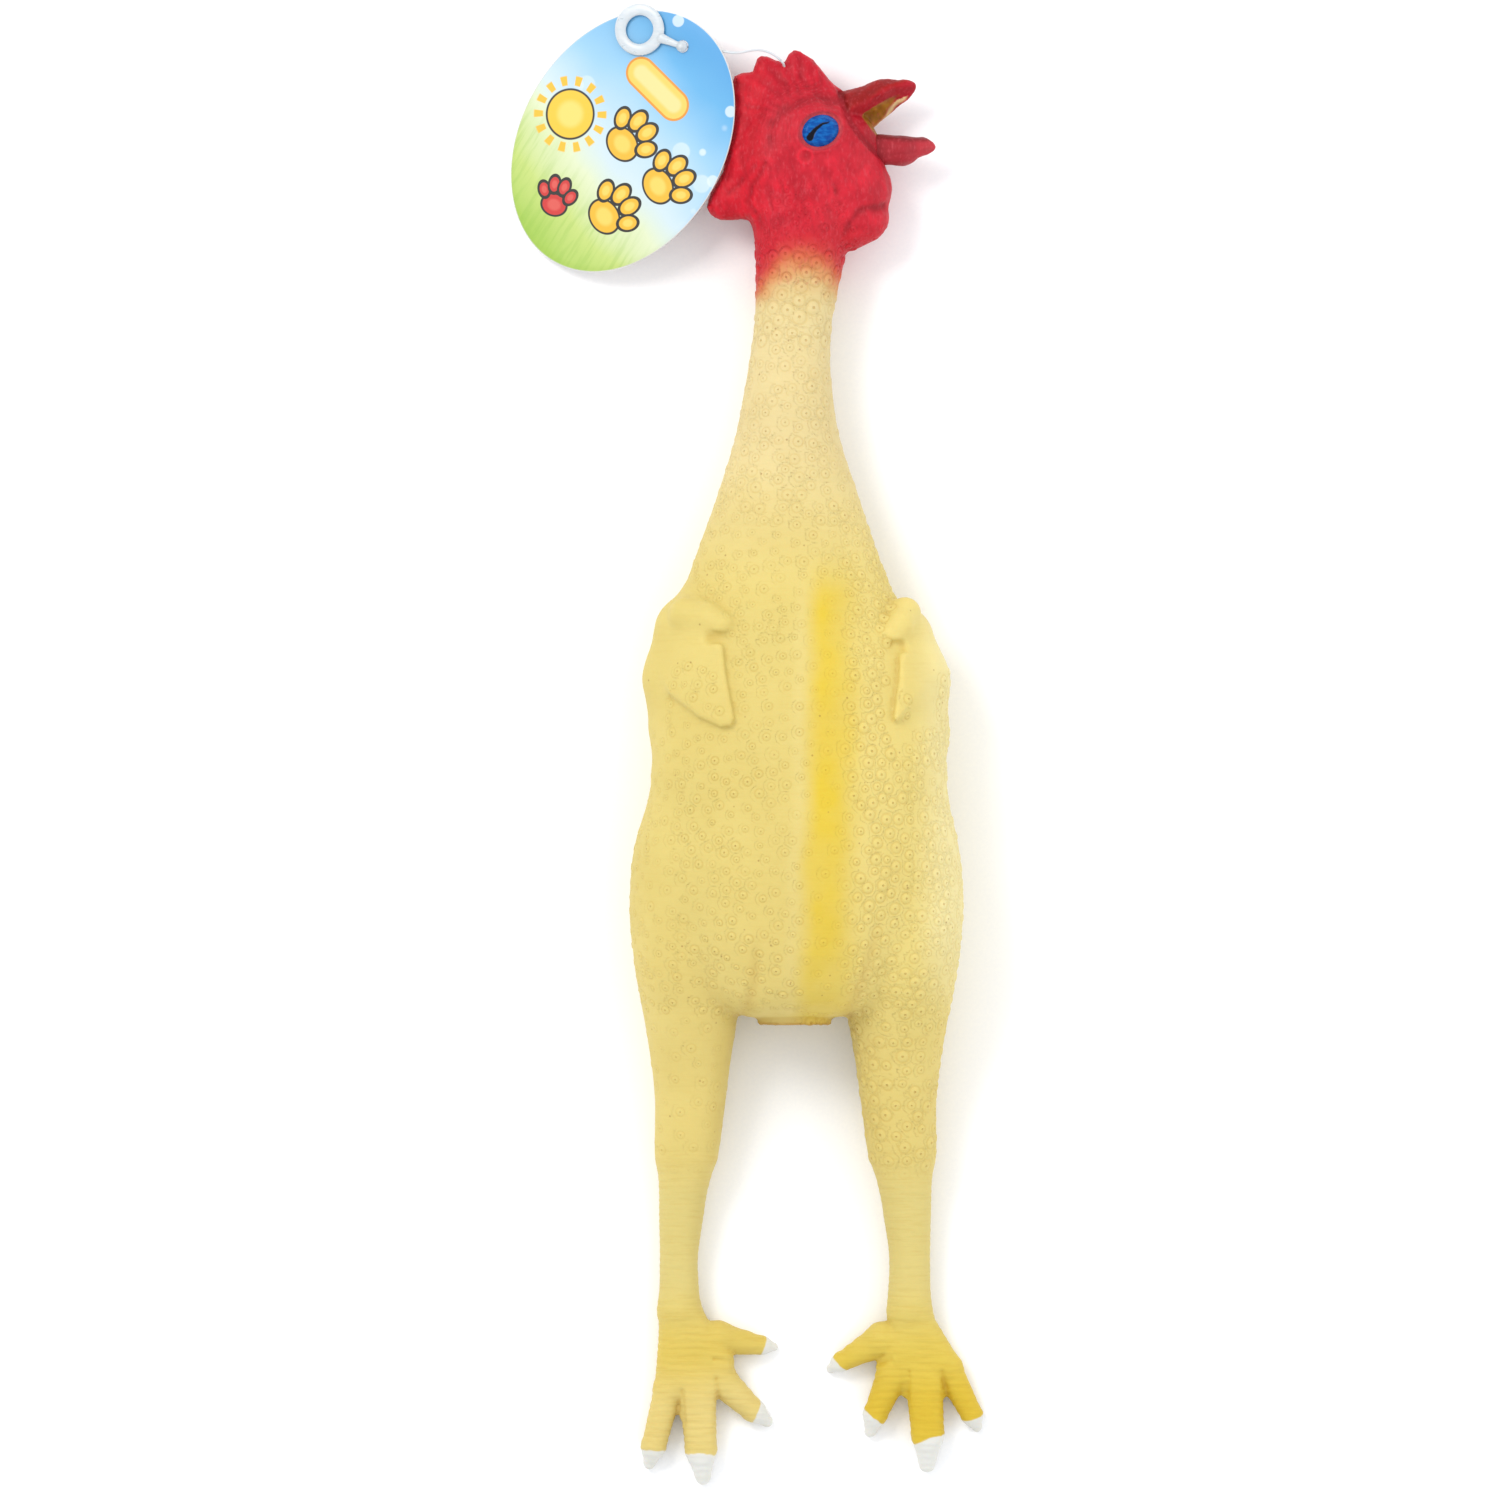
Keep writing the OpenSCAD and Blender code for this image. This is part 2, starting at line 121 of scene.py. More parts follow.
def along(rows, y):
    """Smooth curve through a table's rows, at y."""
    rows = np.array(rows, float)
    ys, v = rows[:, 0], rows[:, 1:]
    m = np.empty_like(v)
    m[1:-1] = (v[2:] - v[:-2]) / (ys[2:] - ys[:-2])[:, None]
    m[0], m[-1] = (v[1] - v[0]) / (ys[1] - ys[0]), (v[-1] - v[-2]) / (ys[-1] - ys[-2])
    y = np.clip(y, ys[0], ys[-1])
    i = np.clip(np.searchsorted(ys, y, "right") - 1, 0, len(ys) - 2)
    h = (ys[i + 1] - ys[i])[:, None]
    s = ((y - ys[i])[:, None]) / h
    return (
        (2 * s**3 - 3 * s**2 + 1) * v[i] + (s**3 - 2 * s**2 + s) * h * m[i]
        + (3 * s**2 - 2 * s**3) * v[i + 1] + (s**3 - s**2) * h * m[i + 1]
    ).T


def tube(p, cx, a, lo, hi, k=2.2):
    """A stretch along Y with a superellipse for its section."""
    b = (hi - lo) / 2
    u, v = np.abs(p[:, 0] - cx) / a + 1e-6, np.abs(p[:, 2] - (hi + lo) / 2) / b + 1e-6
    r = (u**k + v**k) ** (1 / k)
    return (r - 1) / (r ** (1 - k) * np.hypot(u ** (k - 1) / a, v ** (k - 1) / b))


def cone(p, a, b, ra, rb, flat=1.0):
    """A round-ended cone, squashed in Z by flat."""
    a, b = np.array(a, float), np.array(b, float)
    q = p - a
    if flat != 1:
        q = q * [1, 1, 1 / flat]
    d = b - a
    t = np.clip(q @ d / (d @ d), 0, 1)
    return np.linalg.norm(q - t[:, None] * d, axis=1) - (ra + t * (rb - ra))


def melt(d, p, cones, z=()):
    """Joins cones to d: two ends, two radii, a flattening, and how softly each melts in.

    Where z is given, the ends are flat points at that height."""
    for a, b, ra, rb, flat, soft in cones:
        d = join(d, cone(p, (*a, *z), (*b, *z), ra, rb, flat), soft)
    return d


def chain(p, points, softs=(), flat=1.0):
    """Cones from point to point, each point with its radius, melted together."""
    cones = [cone(p, a[:3], b[:3], a[3], b[3], flat) for a, b in zip(points, points[1:])]
    d = cones[0]
    for c, soft in zip(cones[1:], softs):
        d = join(d, c, soft)
    return d


def segment_distance(x, y, a, b):
    """Distance from the line between two points, and how far along it each place is."""
    ex, ey = b[0] - a[0], b[1] - a[1]
    t = np.clip(((x - a[0]) * ex + (y - a[1]) * ey) / (ex * ex + ey * ey), 0, 1)
    return np.hypot(x - a[0] - ex * t, y - a[1] - ey * t), t


def line_distance(x, y, pts):
    return np.min([segment_distance(x, y, a, b)[0] for a, b in zip(pts, pts[1:])], axis=0)


def polygon(x, y, pts):
    pts = np.array(pts, float)
    d2 = np.full(len(x), 1e9)
    inside = np.zeros(len(x), bool)
    for (ax, ay), (bx, by) in zip(pts, np.roll(pts, -1, 0)):
        ex, ey = bx - ax, by - ay
        wx, wy = x - ax, y - ay
        t = np.clip((wx * ex + wy * ey) / (ex * ex + ey * ey), 0, 1)
        d2 = np.minimum(d2, (wx - ex * t) ** 2 + (wy - ey * t) ** 2)
        inside ^= ((ay > y) != (by > y)) & (x < ex * (y - ay) / (ey if ey else 1e-9) + ax)
    return np.where(inside, -1, 1) * np.sqrt(d2)


def value_noise(p, seed=0):
    """Smooth noise from -1 to 1, one cell to a unit."""
    i = np.floor(p).astype(np.int64)
    f = p - i
    f = f * f * (3 - 2 * f)
    out = np.zeros(len(p))
    for step in itertools.product((0, 1), repeat=3):
        h = ((i + step) * [374761393, 668265263, 2147483647]).sum(1) + seed * 97
        h = (h ^ (h >> 13)) * 1274126177
        h = ((h ^ (h >> 16)) & 0xFFFF) / 32767.5 - 1
        out += h * np.where(step, f, 1 - f).prod(1)
    return out


# ---------------------------------------------------------------- the chicken's form

# rows of a stretch: place along Y, middle or offset in X, half width, lowest and highest Z
TRUNK = [
    (-70, -1.8, 20, 7, 42), (-66, -1.8, 26, 4, 48), (-58, -1.8, 32, 0, 54), (-44, -1.5, 40, -2, 59),
    (-24, -0.9, 46, -3, 61), (0, -0.1, 46.6, -3, 60), (20, -0.5, 46.5, -3, 58), (36, -1.4, 43.4, -2, 55),
    (52, -2.8, 38.6, -1, 50.5), (64, -3.7, 34.2, 0, 47), (77, -4.1, 29.4, 0.5, 43.5),
    (96, -3.9, 22.8, 1.3, 38.5), (115, -4, 16.8, 2, 34.6), (128, -3.8, 14.4, 2.4, 32.2),
    (141, -3.2, 12.8, 2.8, 30.2), (153, -2.1, 12.4, 3, 29.2), (166, -0.7, 13.4, 3, 29),
    (180, 0.3, 13.6, 3, 29),
]
LEG = [
    (-166, 36.9, 6.9, 0.5, 13.2), (-160, 36.9, 6.6, 0.5, 13.2), (-147, 37, 6.3, 0.7, 14),
    (-134, 36.2, 7.3, 1, 16),
    (-128, 35.8, 7.8, 1.2, 17.2), (-121, 35.1, 8.8, 1.4, 19.4), (-115, 34.6, 10.4, 1.5, 22),
    (-96, 33.3, 11.7, 2.4, 27.5), (-83, 33.2, 13.3, 2.8, 32), (-70, 33.2, 15.4, 3, 38),
    (-58, 34.2, 16.7, 2.6, 44),
    (-45, 34.8, 17.8, 2.2, 48), (-32, 34.6, 18.6, 2, 49), (-13, 33, 18, 3, 47), (4, 28, 15, 8, 42),
]
LEGS_X = -1.8
ANKLE_OUT, ANKLE_Y = 36.9, -160.0
SIDES = {"left": -1, "right": 1}
FULLNESS = {"left": 0.97, "right": 1.04}
# each toe: base, nail's start and nail's tip from the ankle, and the radius at the base and at the nail
TOES = {
    "left": [
        ((12.3, -13.3), (26.5, -15.6), (31.7, -16.4), 5.5, 2.9), ((13.2, -26.6), (24.0, -36.7),
        (29.6, -41.2), 5.2, 3.7),
        ((5.8, -30.7), (7.0, -49.1), (7.8, -60.4), 6.0, 5.0), ((-3.4, -29.6), (-8.3, -48.1),
        (-10, -55.4), 4.6, 3.9),
    ],
    "right": [
        ((-8.5, -13.6), (-21.9, -21.0), (-26.4, -24.0), 5.5, 3.0), ((-5.0, -24), (-10.9, -37.8),
        (-13, -45.2), 5.3, 3.8),
        ((4.8, -27.4), (5.9, -44.4), (5.7, -56.4), 6.0, 5.2), ((12.2, -22.9), (20.2, -38.1),
        (22.4, -43.4), 4.6, 3.4),
    ],
}
# how far the skin reaches between neighbouring toes, from the ankle
WEBS = {
    "left": [(12.8, -21.6), (12.0, -31.6), (1.4, -39.5)],
    "right": [(-9.8, -22.5), (0, -32.5), (11.8, -31.6)],
}
ANKLE = {s: (LEGS_X + k * ANKLE_OUT, ANKLE_Y) for s, k in SIDES.items()}
HEAD_Z = middle("head_skin")[2]
EYE = middle("eyes")[:2]
EYE_HALF = np.array([6.15, 5.15])
EYE_COS, EYE_SIN = math.cos(math.radians(24)), math.sin(math.radians(24))
BEAK = joint_at("jaw")
VENT = middle("squeaker_barrel")
VENT_R = 9.15
CRISP = 2.2    # rounding of a wing's edge

COMB = [
    (-21.4, 221.6), (-21.8, 228), (-20.9, 231), (-18.7, 232.2), (-15.1, 232.6), (-14.5, 234.6),
    (-13.7, 236.9),
    (-12.4, 237.6), (-10.6, 237.5), (-7.6, 236.2), (-5, 235.7), (-3.6, 238.2), (-1.9, 239.7), (0.2, 239.1),
    (4.5, 236.2), (7.8, 232.1), (10.5, 228.2), (12.8, 226.6), (12, 214), (-8, 200), (-14, 190),
    (-14.3, 188.6),
    (-17, 187.2), (-20.9, 186.2), (-25.3, 185.8), (-28, 186.9), (-29.6, 189.2), (-27.5, 192.6),
    (-24.2, 200.8),
    (-22, 210.6),
]
# each wing: outline, and the points and radii of its shoulder, its rolled arm and the dent below that
WINGS = {
    "left": (
        [
            (-70, 80), (-41, 76), (-34, 66), (-28.2, 59.5), (-24.6, 49.4), (-23.6, 39.6), (-20.9, 25.4),
            (-22, 22.9),
            (-25.3, 22.6), (-32.4, 25.8), (-41.4, 32.8), (-42.4, 10), (-70, 0),
        ],
        [(-35.2, 53.4, 28, 11.4), (-38.2, 38, 27, 11), (-38.6, 24, 26, 9.2)],
        [(-36, 58.4, 37, 6), (-29, 57.4, 42.6, 4.7), (-24.6, 55.6, 45.2, 4.2)],
        [(-28.8, 51.4, 48.6, 1.9), (-20.5, 50.2, 47.4, 1.4)],
    ),
    "right": (
        [
            (70, 80), (40, 76), (36, 68), (32.6, 60), (31.8, 50), (31.4, 38), (29.7, 26), (30.4, 23.6),
            (32, 22.8),
            (34, 10), (70, 0),
        ],
        [(31.6, 50.6, 27, 11.1), (35.7, 37.6, 27, 11.1), (37.4, 22, 26, 9.8)],
        [(33.4, 59, 33, 5.2), (31.6, 55.4, 38.2, 4.2), (28.8, 52.2, 41, 3.5)],
        [(32.4, 48.4, 42.4, 1.7), (26, 48, 43.6, 1.4)],
    ),
}


def keel(p):
    """Height of the breast's ridge: steep on the left, spread out on the right."""
    x, y = p[:, 0], p[:, 1]
    u = x - np.interp(y, [-70, -40, 0, 40, 64], [4, 4.5, 5.5, 6, 5])
    ridge = bell(u, np.where(u < 0, 7.5, 13))
    return 1.9 * ridge * np.interp(y, [-68, -50, 40, 74], [0, 1, 1, 0]) * smooth(30, 44, p[:, 2])


def wing_foot(side, out, y):
    """Where the wing has its full height: the lower crease softens as it runs round the flank."""
    if side == "right":
        return smooth(-1, 1, (y - 24.6 - 0.5 * (out - 31)) / (0.9 + 0.9 * np.maximum(out - 30.6, 0)))
    crease = 32.6 + 0.55 * np.maximum(out - 41.4, 0)
    soft = 0.7 + 2.0 * np.maximum(out - 41.2, 0)
    return np.where(out > 41.2, smooth(-1, 1, (y - crease) / soft), 1)


def body(p):
    d = tube(p, *along(TRUNK, p[:, 1])) - keel(p)
    d = cut(d, -70.2 - p[:, 1], 9)
    d = cut(d, p[:, 1] - 190, 4)
    near = (p[:, 1] > -4) & (p[:, 1] < 88)
    if near.any():
        q, dq = p[near], d[near]
        x, y, z = q.T
        for side, (outline, shoulder, arm, dent) in WINGS.items():
            rise = 3.7 * smooth(74, 56, y) * wing_foot(side, x * SIDES[side], y) - 0.7
            plate = cut(cut(dq - rise, polygon(x, y, outline), CRISP), 12 - z, 12)
            dq = join(dq, chain(q, shoulder, (5,)), 5)
            plate = join(plate, chain(q, arm, (2,)), 2.6)
            dq = join(dq, cut(plate, -chain(q, dent), 1.8), 1.8)
        d[near] = dq
    return d


def leg(p, side):
    cx, a, lo, hi = along(LEG, p[:, 1])
    d = tube(p, LEGS_X + SIDES[side] * cx, a * FULLNESS[side], lo, hi, 2.1)
    d = cut(d, -167 - p[:, 1], 4)
    return cut(d, p[:, 1] - 5, 8)


def tip_radius(r):
    return max(r * 0.5, 1.4)


def toe_points(side):
    """Each toe's base, nail's start and nail's tip as points, and its radius at the first two."""
    ax, ay = ANKLE[side]
    for base, nail, tip, r0, r1 in TOES[side]:
        put = lambda q, r: np.array([ax + q[0], ay + q[1], r + 0.25])
        end = tip_radius(r1)
        tip = np.array(tip) - end * (np.array(tip) - nail) / math.dist(tip, nail)
        yield put(base, r0), put(nail, r1), put(tip, end), r0, r1


def foot(p, side):
    ax, ay = ANKLE[side]
    s = SIDES[side]
    toes = list(toe_points(side))
    second, third, fourth = (t[0] for t in toes[1:])
    palm = (second + third) / 2 + [-1.5 * s, 8, 0.9]
    d = cone(p, (ax + s * 0.3, ay - 2.5, 6.8), palm, 5.5, 5.9)
    d = melt(d, p, [
        (palm, (second + fourth) / 2 + [0, 3, 0], 6.1, 5.4, 1, 2),
        ((ax, ay - 5, 6.8), fourth, 5.6, 4.6, 1, 2),
        ((ax, ay - 7, 6.8), (third + fourth) / 2 + [0, 4, 0.6], 5.6, 5.5, 1, 3),
    ])
    for i, (base, nail, tip, r0, r1) in enumerate(toes):
        root, root_r = (palm, 5.6) if i else ((ax + s * 0.5, ay - 13.5, 6.2), 5.3)
        toe = melt(cone(p, root, base, root_r, r0), p, [
            (base, nail, r0, r1, 1, 1.5), (nail, tip, r1, tip_radius(r1), 1, 1),
        ])
        d = join(d, toe, 1.1 if i in (0, 3) else 1.4)
    for wx, wy in WEBS[side]:
        gap = np.array([ax + wx, ay + wy, 4.4])
        gap = gap + (palm - gap) / np.linalg.norm(palm - gap) * 2.6
        d = join(d, cone(p, palm, gap, 5, 2.6), 1.6)
    # the top of the foot is one flat back
    back = np.interp(p[:, 1], [-212, -196, -182, -168, -150], [9.6, 10.8, 11.4, 13, 18])
    return cut(cut(d, p[:, 2] - back, 2), -p[:, 2], 1.2)


def eye_local(x, y):
    """Place on the eye, in half lengths of its oval."""
    dx, dy = x - EYE[0], y - EYE[1]
    return (dx * EYE_COS + dy * EYE_SIN) / EYE_HALF[0], (dy * EYE_COS - dx * EYE_SIN) / EYE_HALF[1]


def under_beak(p):
    """The upper beak's open underside, which is rolled a little towards +Z so that the mouth shows."""
    flat = (p[:, 0] - 22.1) * 0.63 - (p[:, 1] - 213.6) * 0.777 + (p[:, 2] - HEAD_Z) * 0.85 + 2.6
    return (flat - 0.3 * np.maximum(p[:, 0] - 31, 0)) / 1.31


def mouth(p):
    h = HEAD_Z
    d = cone(p, (23, 216.6, h + 1.6), (32, 223.6, h + 1.8), 3.6, 1.5)
    return join(d, cone(p, (22, 213.6, h + 1), (26, 217.8, h + 1), 2.8, 3.0), 2)


# the ends of the head's cones, at the height of its middle
CROWN, BROW_END, NAPE, CHEEK_END = (0, 212.5), (12, 207.5), (-7, 204), (17.8, 195)
HEAD_CONES = [
    (CROWN, NAPE, 14.4, 11.8, 0.93, 5), (NAPE, (0.2, 176), 12.2, 13.2, 0.97, 6),
    ((8, 204), (3, 186), 13.2, 12.4, 0.97, 5), (BROW_END, CHEEK_END, 12.4, 11.2, 0.93, 4),
    (CHEEK_END, (15.5, 190.5), 11.2, 10.2, 0.98, 1.8), ((20, 186.2), (15, 184), 8.5, 8.8, 0.95, 1.6),
]
BEAK_CONES = [((27, 223.8), (33, 226.2), 5.9, 3.6, 0.9, 3), ((33, 226.2), (35.2, 227.6), 3.6, 1.9, 0.95, 2)]
LOBE_CONES = [((-20.5, 193.1), (-24.2, 190.5), 6.5, 4.8, 0.72, 3)]


def head(p):
    x, y, z = p.T
    h = (HEAD_Z,)
    d = melt(cone(p, CROWN + h, BROW_END + h, 14.6, 12.9, 0.93), p, HEAD_CONES, h)
    thick = np.interp(y, [186, 200, 216, 229, 240], [4.6, 5.0, 4.8, 3.6, 3.1])
    d = join(d, cut(polygon(x, y, COMB), np.abs(z - HEAD_Z) - thick, 4), 6.5)
    d = join(d, melt(cone(p, (-14.5, 199) + h, (-20.5, 192.5) + h, 5.5, 6.8, 0.8), p, LOBE_CONES, h), 2.2)
    beak = melt(cone(p, (18.6, 219) + h, (27, 223.8) + h, 8.6, 5.9, 0.86), p, BEAK_CONES, h)
    d = join(d, cut(cut(beak, under_beak(p), 1.2), -mouth(p), 0.8), 1.2)
    r = np.hypot(*eye_local(x, y))
    return d + np.where(np.abs(z - HEAD_Z) > 6, 0.9 * bell(r - 1.0, 0.16) - 0.55 * bell(r - 1.28, 0.16), 0)


def skin(p):
    x, y, z = p.T
    d = np.full(len(p), 40.0)
    m = (y > -90) & (y < 200)
    d[m] = body(p[m])
    for side, s in SIDES.items():
        m = (y < 18) & (x * s > -14) & (y > -180)
        if m.any():
            k = np.interp(y[m], [-72, -48, -20, 8], [2.6, 4, 6, 9])
            d[m] = join(d[m], leg(p[m], side), k)
        m = (y < -140) & (x * s > -2)
        if m.any():
            d[m] = join(d[m], foot(p[m], side), 2.5)
    m = y > 165
    d[m] = join(d[m], head(p[m]), 4)
    # the vent, with a lip that hides the squeaker's flange
    m = (y < -40) & (np.hypot(x - VENT[0], z - VENT[2]) < 30)
    around = np.hypot(x[m] - VENT[0], z[m] - VENT[2])
    d[m] = join(d[m], np.maximum(around - VENT_R - 2.6, np.abs(y[m] + 68.4) - 4.0), 1.6)
    d[m] = cut(d[m], -np.maximum(around - VENT_R, y[m] + 55), 0.8)
    return cut(d, -z, 2.5)


# ---------------------------------------------------------------- meshes

def gradient(f, p, e=0.04):
    return np.column_stack([(f(p + o) - f(p - o)) / (2 * e) for o in np.eye(3) * e])


def surface(f, lo, hi, step):
    """Quads of the surface f = 0, facing outwards."""
    n = [int((b - a) / step) + 2 for a, b in zip(lo, hi)]
    axes = [a + step * np.arange(k) for a, k in zip(lo, n)]
    values = np.empty(n, np.float32)
    for i, x in enumerate(axes[0]):
        yy, zz = np.meshgrid(axes[1], axes[2], indexing="ij")
        p = np.column_stack([np.full(yy.size, x), yy.ravel(), zz.ravel()])
        values[i] = np.clip(f(p), -3 * step, 3 * step).reshape(n[1], n[2])
    grid = openvdb.FloatGrid(background=3 * step)
    grid.copyFromArray(values)
    points, quads = grid.convertToQuads(isovalue=0.0)
    points = points * step + np.array(lo)
    a, b, c = points[quads[:, 0]], points[quads[:, 1]], points[quads[:, 2]]
    if np.einsum("ij,ij->i", np.cross(b - a, c - a), a - points.mean(0)).sum() < 0:
        quads = quads[:, ::-1]
    return points, quads


def read(items, key, width=1, kind=np.int32):
    a = np.empty(len(items) * width, kind)
    items.foreach_get(key, a)
    return a.reshape(-1, width) if width > 1 else a


def edges_of(mesh):
    return read(mesh.edges, "vertices", 2)


def co_of(mesh):
    return read(mesh.vertices, "co", 3, float)


def normals_of(mesh):
    return read(mesh.vertex_normals, "vector", 3, float)


def set_co(mesh, co):
    mesh.vertices.foreach_set("co", np.ascontiguousarray(co, np.float32).ravel())
    mesh.update()


def shade_smooth(mesh):
    mesh.polygons.foreach_set("use_smooth", np.ones(len(mesh.polygons), bool))


def write(mesh, name, kind, values):
    a = mesh.attributes.get(name) or mesh.attributes.new(name, kind, "POINT")
    key = {"FLOAT": "value", "FLOAT_VECTOR": "vector", "FLOAT_COLOR": "color"}[kind]
    a.data.foreach_set(key, np.ascontiguousarray(values, np.float32).ravel())


def neighbour_mean(v, e):
    n = np.maximum(np.bincount(e.ravel(), minlength=len(v)), 1)
    a, b = e.T
    means = [
        (np.bincount(a, c[b], len(v)) + np.bincount(b, c[a], len(v))) / n for c in v.reshape(len(v), -1).T
    ]
    return np.column_stack(means).reshape(v.shape)


def settle(mesh, f, relax=2, rounds=2):
    """Evens out the points along the surface and puts them exactly on it."""
    e = edges_of(mesh)
    p = co_of(mesh)
    for _ in range(relax):
        g = gradient(f, p)
        n = g / (np.linalg.norm(g, axis=1)[:, None] + 1e-9)
        m = neighbour_mean(p, e) - p
        p = p + 0.5 * (m - (m * n).sum(1)[:, None] * n)
        p = p - np.clip(f(p), -0.6, 0.6)[:, None] * n
    for _ in range(rounds):
        g = gradient(f, p)
        p = p - np.clip(f(p) / ((g * g).sum(1) + 1e-9), -0.5, 0.5)[:, None] * g
    set_co(mesh, p)


def mesh_from(points, faces, name):
    mesh = bpy.data.meshes.new(name)
    mesh.from_pydata(points.tolist(), [], faces if isinstance(faces, list) else faces.tolist())
    return mesh


def add_object(name, mesh):
    o = bpy.data.objects.new(name, mesh)
    bpy.context.scene.collection.objects.link(o)
    return o


def subdivided(mesh, **settings):
    o = add_object("tmp", mesh)
    m = o.modifiers.new("s", "SUBSURF")
    m.levels = 1
    for key, value in settings.items():
        setattr(m, key, value)
    out = bpy.data.meshes.new_from_object(o.evaluated_get(bpy.context.evaluated_depsgraph_get()))
    bpy.data.objects.remove(o)
    return out


def face_outwards(mesh):
    bm = bmesh.new()
    bm.from_mesh(mesh)
    bmesh.ops.recalc_face_normals(bm, faces=bm.faces)
    bm.to_mesh(mesh)
    bm.free()


# ---------------------------------------------------------------- the cuts, as in the CAD

FOLD_GAP = 0.3
NECK_CUTS = [
    lowest("neck_base_fold") - FOLD_GAP, lowest("neck_lower_skin"), highest("neck_lower_skin"),
    lowest("neck_upper_skin"), highest("neck_upper_skin"), highest("neck_top_fold") + FOLD_GAP,
]
LEG_CUTS = [
    highest("left_hip_fold") + FOLD_GAP, highest("left_thigh_skin"), lowest("left_thigh_skin"),
    highest("left_shank_skin"), lowest("left_shank_skin"), lowest("left_ankle_fold") - FOLD_GAP,
]
BELLY_Z = (51.0, 61.0)
BELLY_BACK = -75    # the belly and the vent are in front of this, the legs behind
NECK_PIECES = [
    "neck_base_fold", "neck_lower_skin", "neck_mid_fold", "neck_upper_skin", "neck_top_fold", "head_skin",
]
LEG_PIECES = ["hip_fold", "thigh_skin", "hock_fold", "shank_skin", "ankle_fold", "foot_skin", "claws"]
FOOT, CLAWS = LEG_PIECES.index("foot_skin"), LEG_PIECES.index("claws")
PIECES = ["torso_skin", "belly"] + NECK_PIECES + [f"{s}_{n}" for s in SIDES for n in LEG_PIECES]
FIRST_NECK, FIRST_LEG = 2, 2 + len(NECK_PIECES)

points, quads = surface(skin, (-64, -228, -6), (66, 247, 74), 1.5)
for c in NECK_CUTS + LEG_CUTS:
    near = np.abs(points[:, 1] - c) < 0.4
    points[near, 1] = c
base = mesh_from(points, quads, "base")
bm = bmesh.new()
bm.from_mesh(base)


def slice_at(place, normal, region):
    faces = [f for f in bm.faces if region(f.calc_center_median())]
    geom = list({v for f in faces for v in f.verts}) + list({e for f in faces for e in f.edges}) + faces
    bmesh.ops.bisect_plane(bm, geom=geom, dist=0.02, plane_co=place, plane_no=normal)


for c in NECK_CUTS + LEG_CUTS:
    slice_at((0, c, 0), (0, 1, 0), lambda q: abs(q.y - c) < 5)
slice_at(
    (0, 0, BELLY_Z[0]), (0, 0, 1),
    lambda q: abs(q.z - BELLY_Z[0]) < 5 and BELLY_BACK < q.y < NECK_CUTS[0] + 1,
)
nail_cuts = {s: [] for s in SIDES}
for side in SIDES:
    for _, nail, tip, _, r in toe_points(side):
        axis = (tip - nail) / np.linalg.norm(tip - nail)
        place = nail - axis * (0.2 * r)
        nail_cuts[side].append((place, axis, np.linalg.norm(tip - place) + 6, r + 2.5))
        middle_of_cut = Vector(place.tolist())
        slice_at(place.tolist(), axis.tolist(), lambda q: (q - middle_of_cut).length < r + 3)
bm.normal_update()


def on_claw(q, side):
    for place, axis, reach, r in nail_cuts[side]:
        v = np.array(q) - place
        t = v @ axis
        if 0 < t < reach and np.linalg.norm(v - t * axis) < r:
            return True
    return False


for f in bm.faces:
    q = f.calc_center_median()
    if q.y > NECK_CUTS[0]:
        f.material_index = FIRST_NECK - 1 + int(np.searchsorted(NECK_CUTS, q.y))
    elif q.z > BELLY_Z[0] and q.y > BELLY_BACK:
        f.material_index = PIECES.index("belly")
    elif q.y < LEG_CUTS[0]:
        side = "left" if q.x < LEGS_X else "right"
        part = sum(q.y < c for c in LEG_CUTS) - 1
        if part == FOOT and on_claw(q, side):
            part = CLAWS
        f.material_index = FIRST_LEG + part + (0 if side == "left" else len(LEG_PIECES))
    else:
        f.material_index = PIECES.index("torso_skin")
bm.to_mesh(base)
bm.free()
for _ in PIECES:
    base.materials.append(None)
whole = subdivided(base, boundary_smooth="ALL")
settle(whole, skin)
print("SKIN", len(whole.vertices), len(whole.polygons))

# ---------------------------------------------------------------- relief, as small moves along the normal

BEAK_CREASE = [(12.6, 227.4), (14.2, 221.6), (16.4, 215.9), (20.6, 210.2), (24.6, 206.2), (27.6, 204.2)]
WATTLE_CREASE = [(28.4, 190), (25, 188.6), (21.6, 188.6), (18.4, 187.2), (15.6, 183.6), (14.6, 180.4)]
BROW = [(-10, 209), (-9.4, 214.6), (-6.6, 219), (-0.8, 222), (5.8, 223.8), (12, 223)]
# folds of the cheek, then of the cape, each with its depth
FOLDS = [
    ([(13.5, 204), (11.8, 199.5), (11.4, 194), (12.6, 189.8)], 0.13),
    ([(16, 204.4), (14.8, 200), (15, 195.4), (16.6, 191.4)], 0.1),
    ([(10.6, 202.5), (9.2, 197), (9, 192.4)], 0.13), ([(8, 201), (6.9, 196), (7, 192)], 0.08),
    ([(-11.2, 203), (-12.8, 199), (-15.6, 195), (-16.4, 191), (-14.6, 187.5)], 0.26),
    ([(-22.6, 206), (-22.2, 201.5), (-24.6, 195.5)], 0.14), ([(-14.5, 202), (-18.6, 197.4),
    (-23.2, 193.4)], 0.16),
    ([(-19, 206), (-17.8, 201), (-19.4, 196)], 0.12),
]
GROIN = [
    [(-14, -44), (-14.4, -52), (-15, -60), (-16.6, -66), (-19, -70)],
    [(26, -36), (23.6, -46), (20.6, -56), (17.6, -64), (14.6, -69.5)],
]
TOE_CREASES = [
    [(-37.3, -201), (-37.9, -190)], [(-25.9, -194), (-26.8, -186)], [(-22, -180.6), (-27.5, -180)],
    [(34.1, -195), (35, -184)], [(47.7, -194), (45.6, -184)], [(24, -181.4), (29, -180)],
]


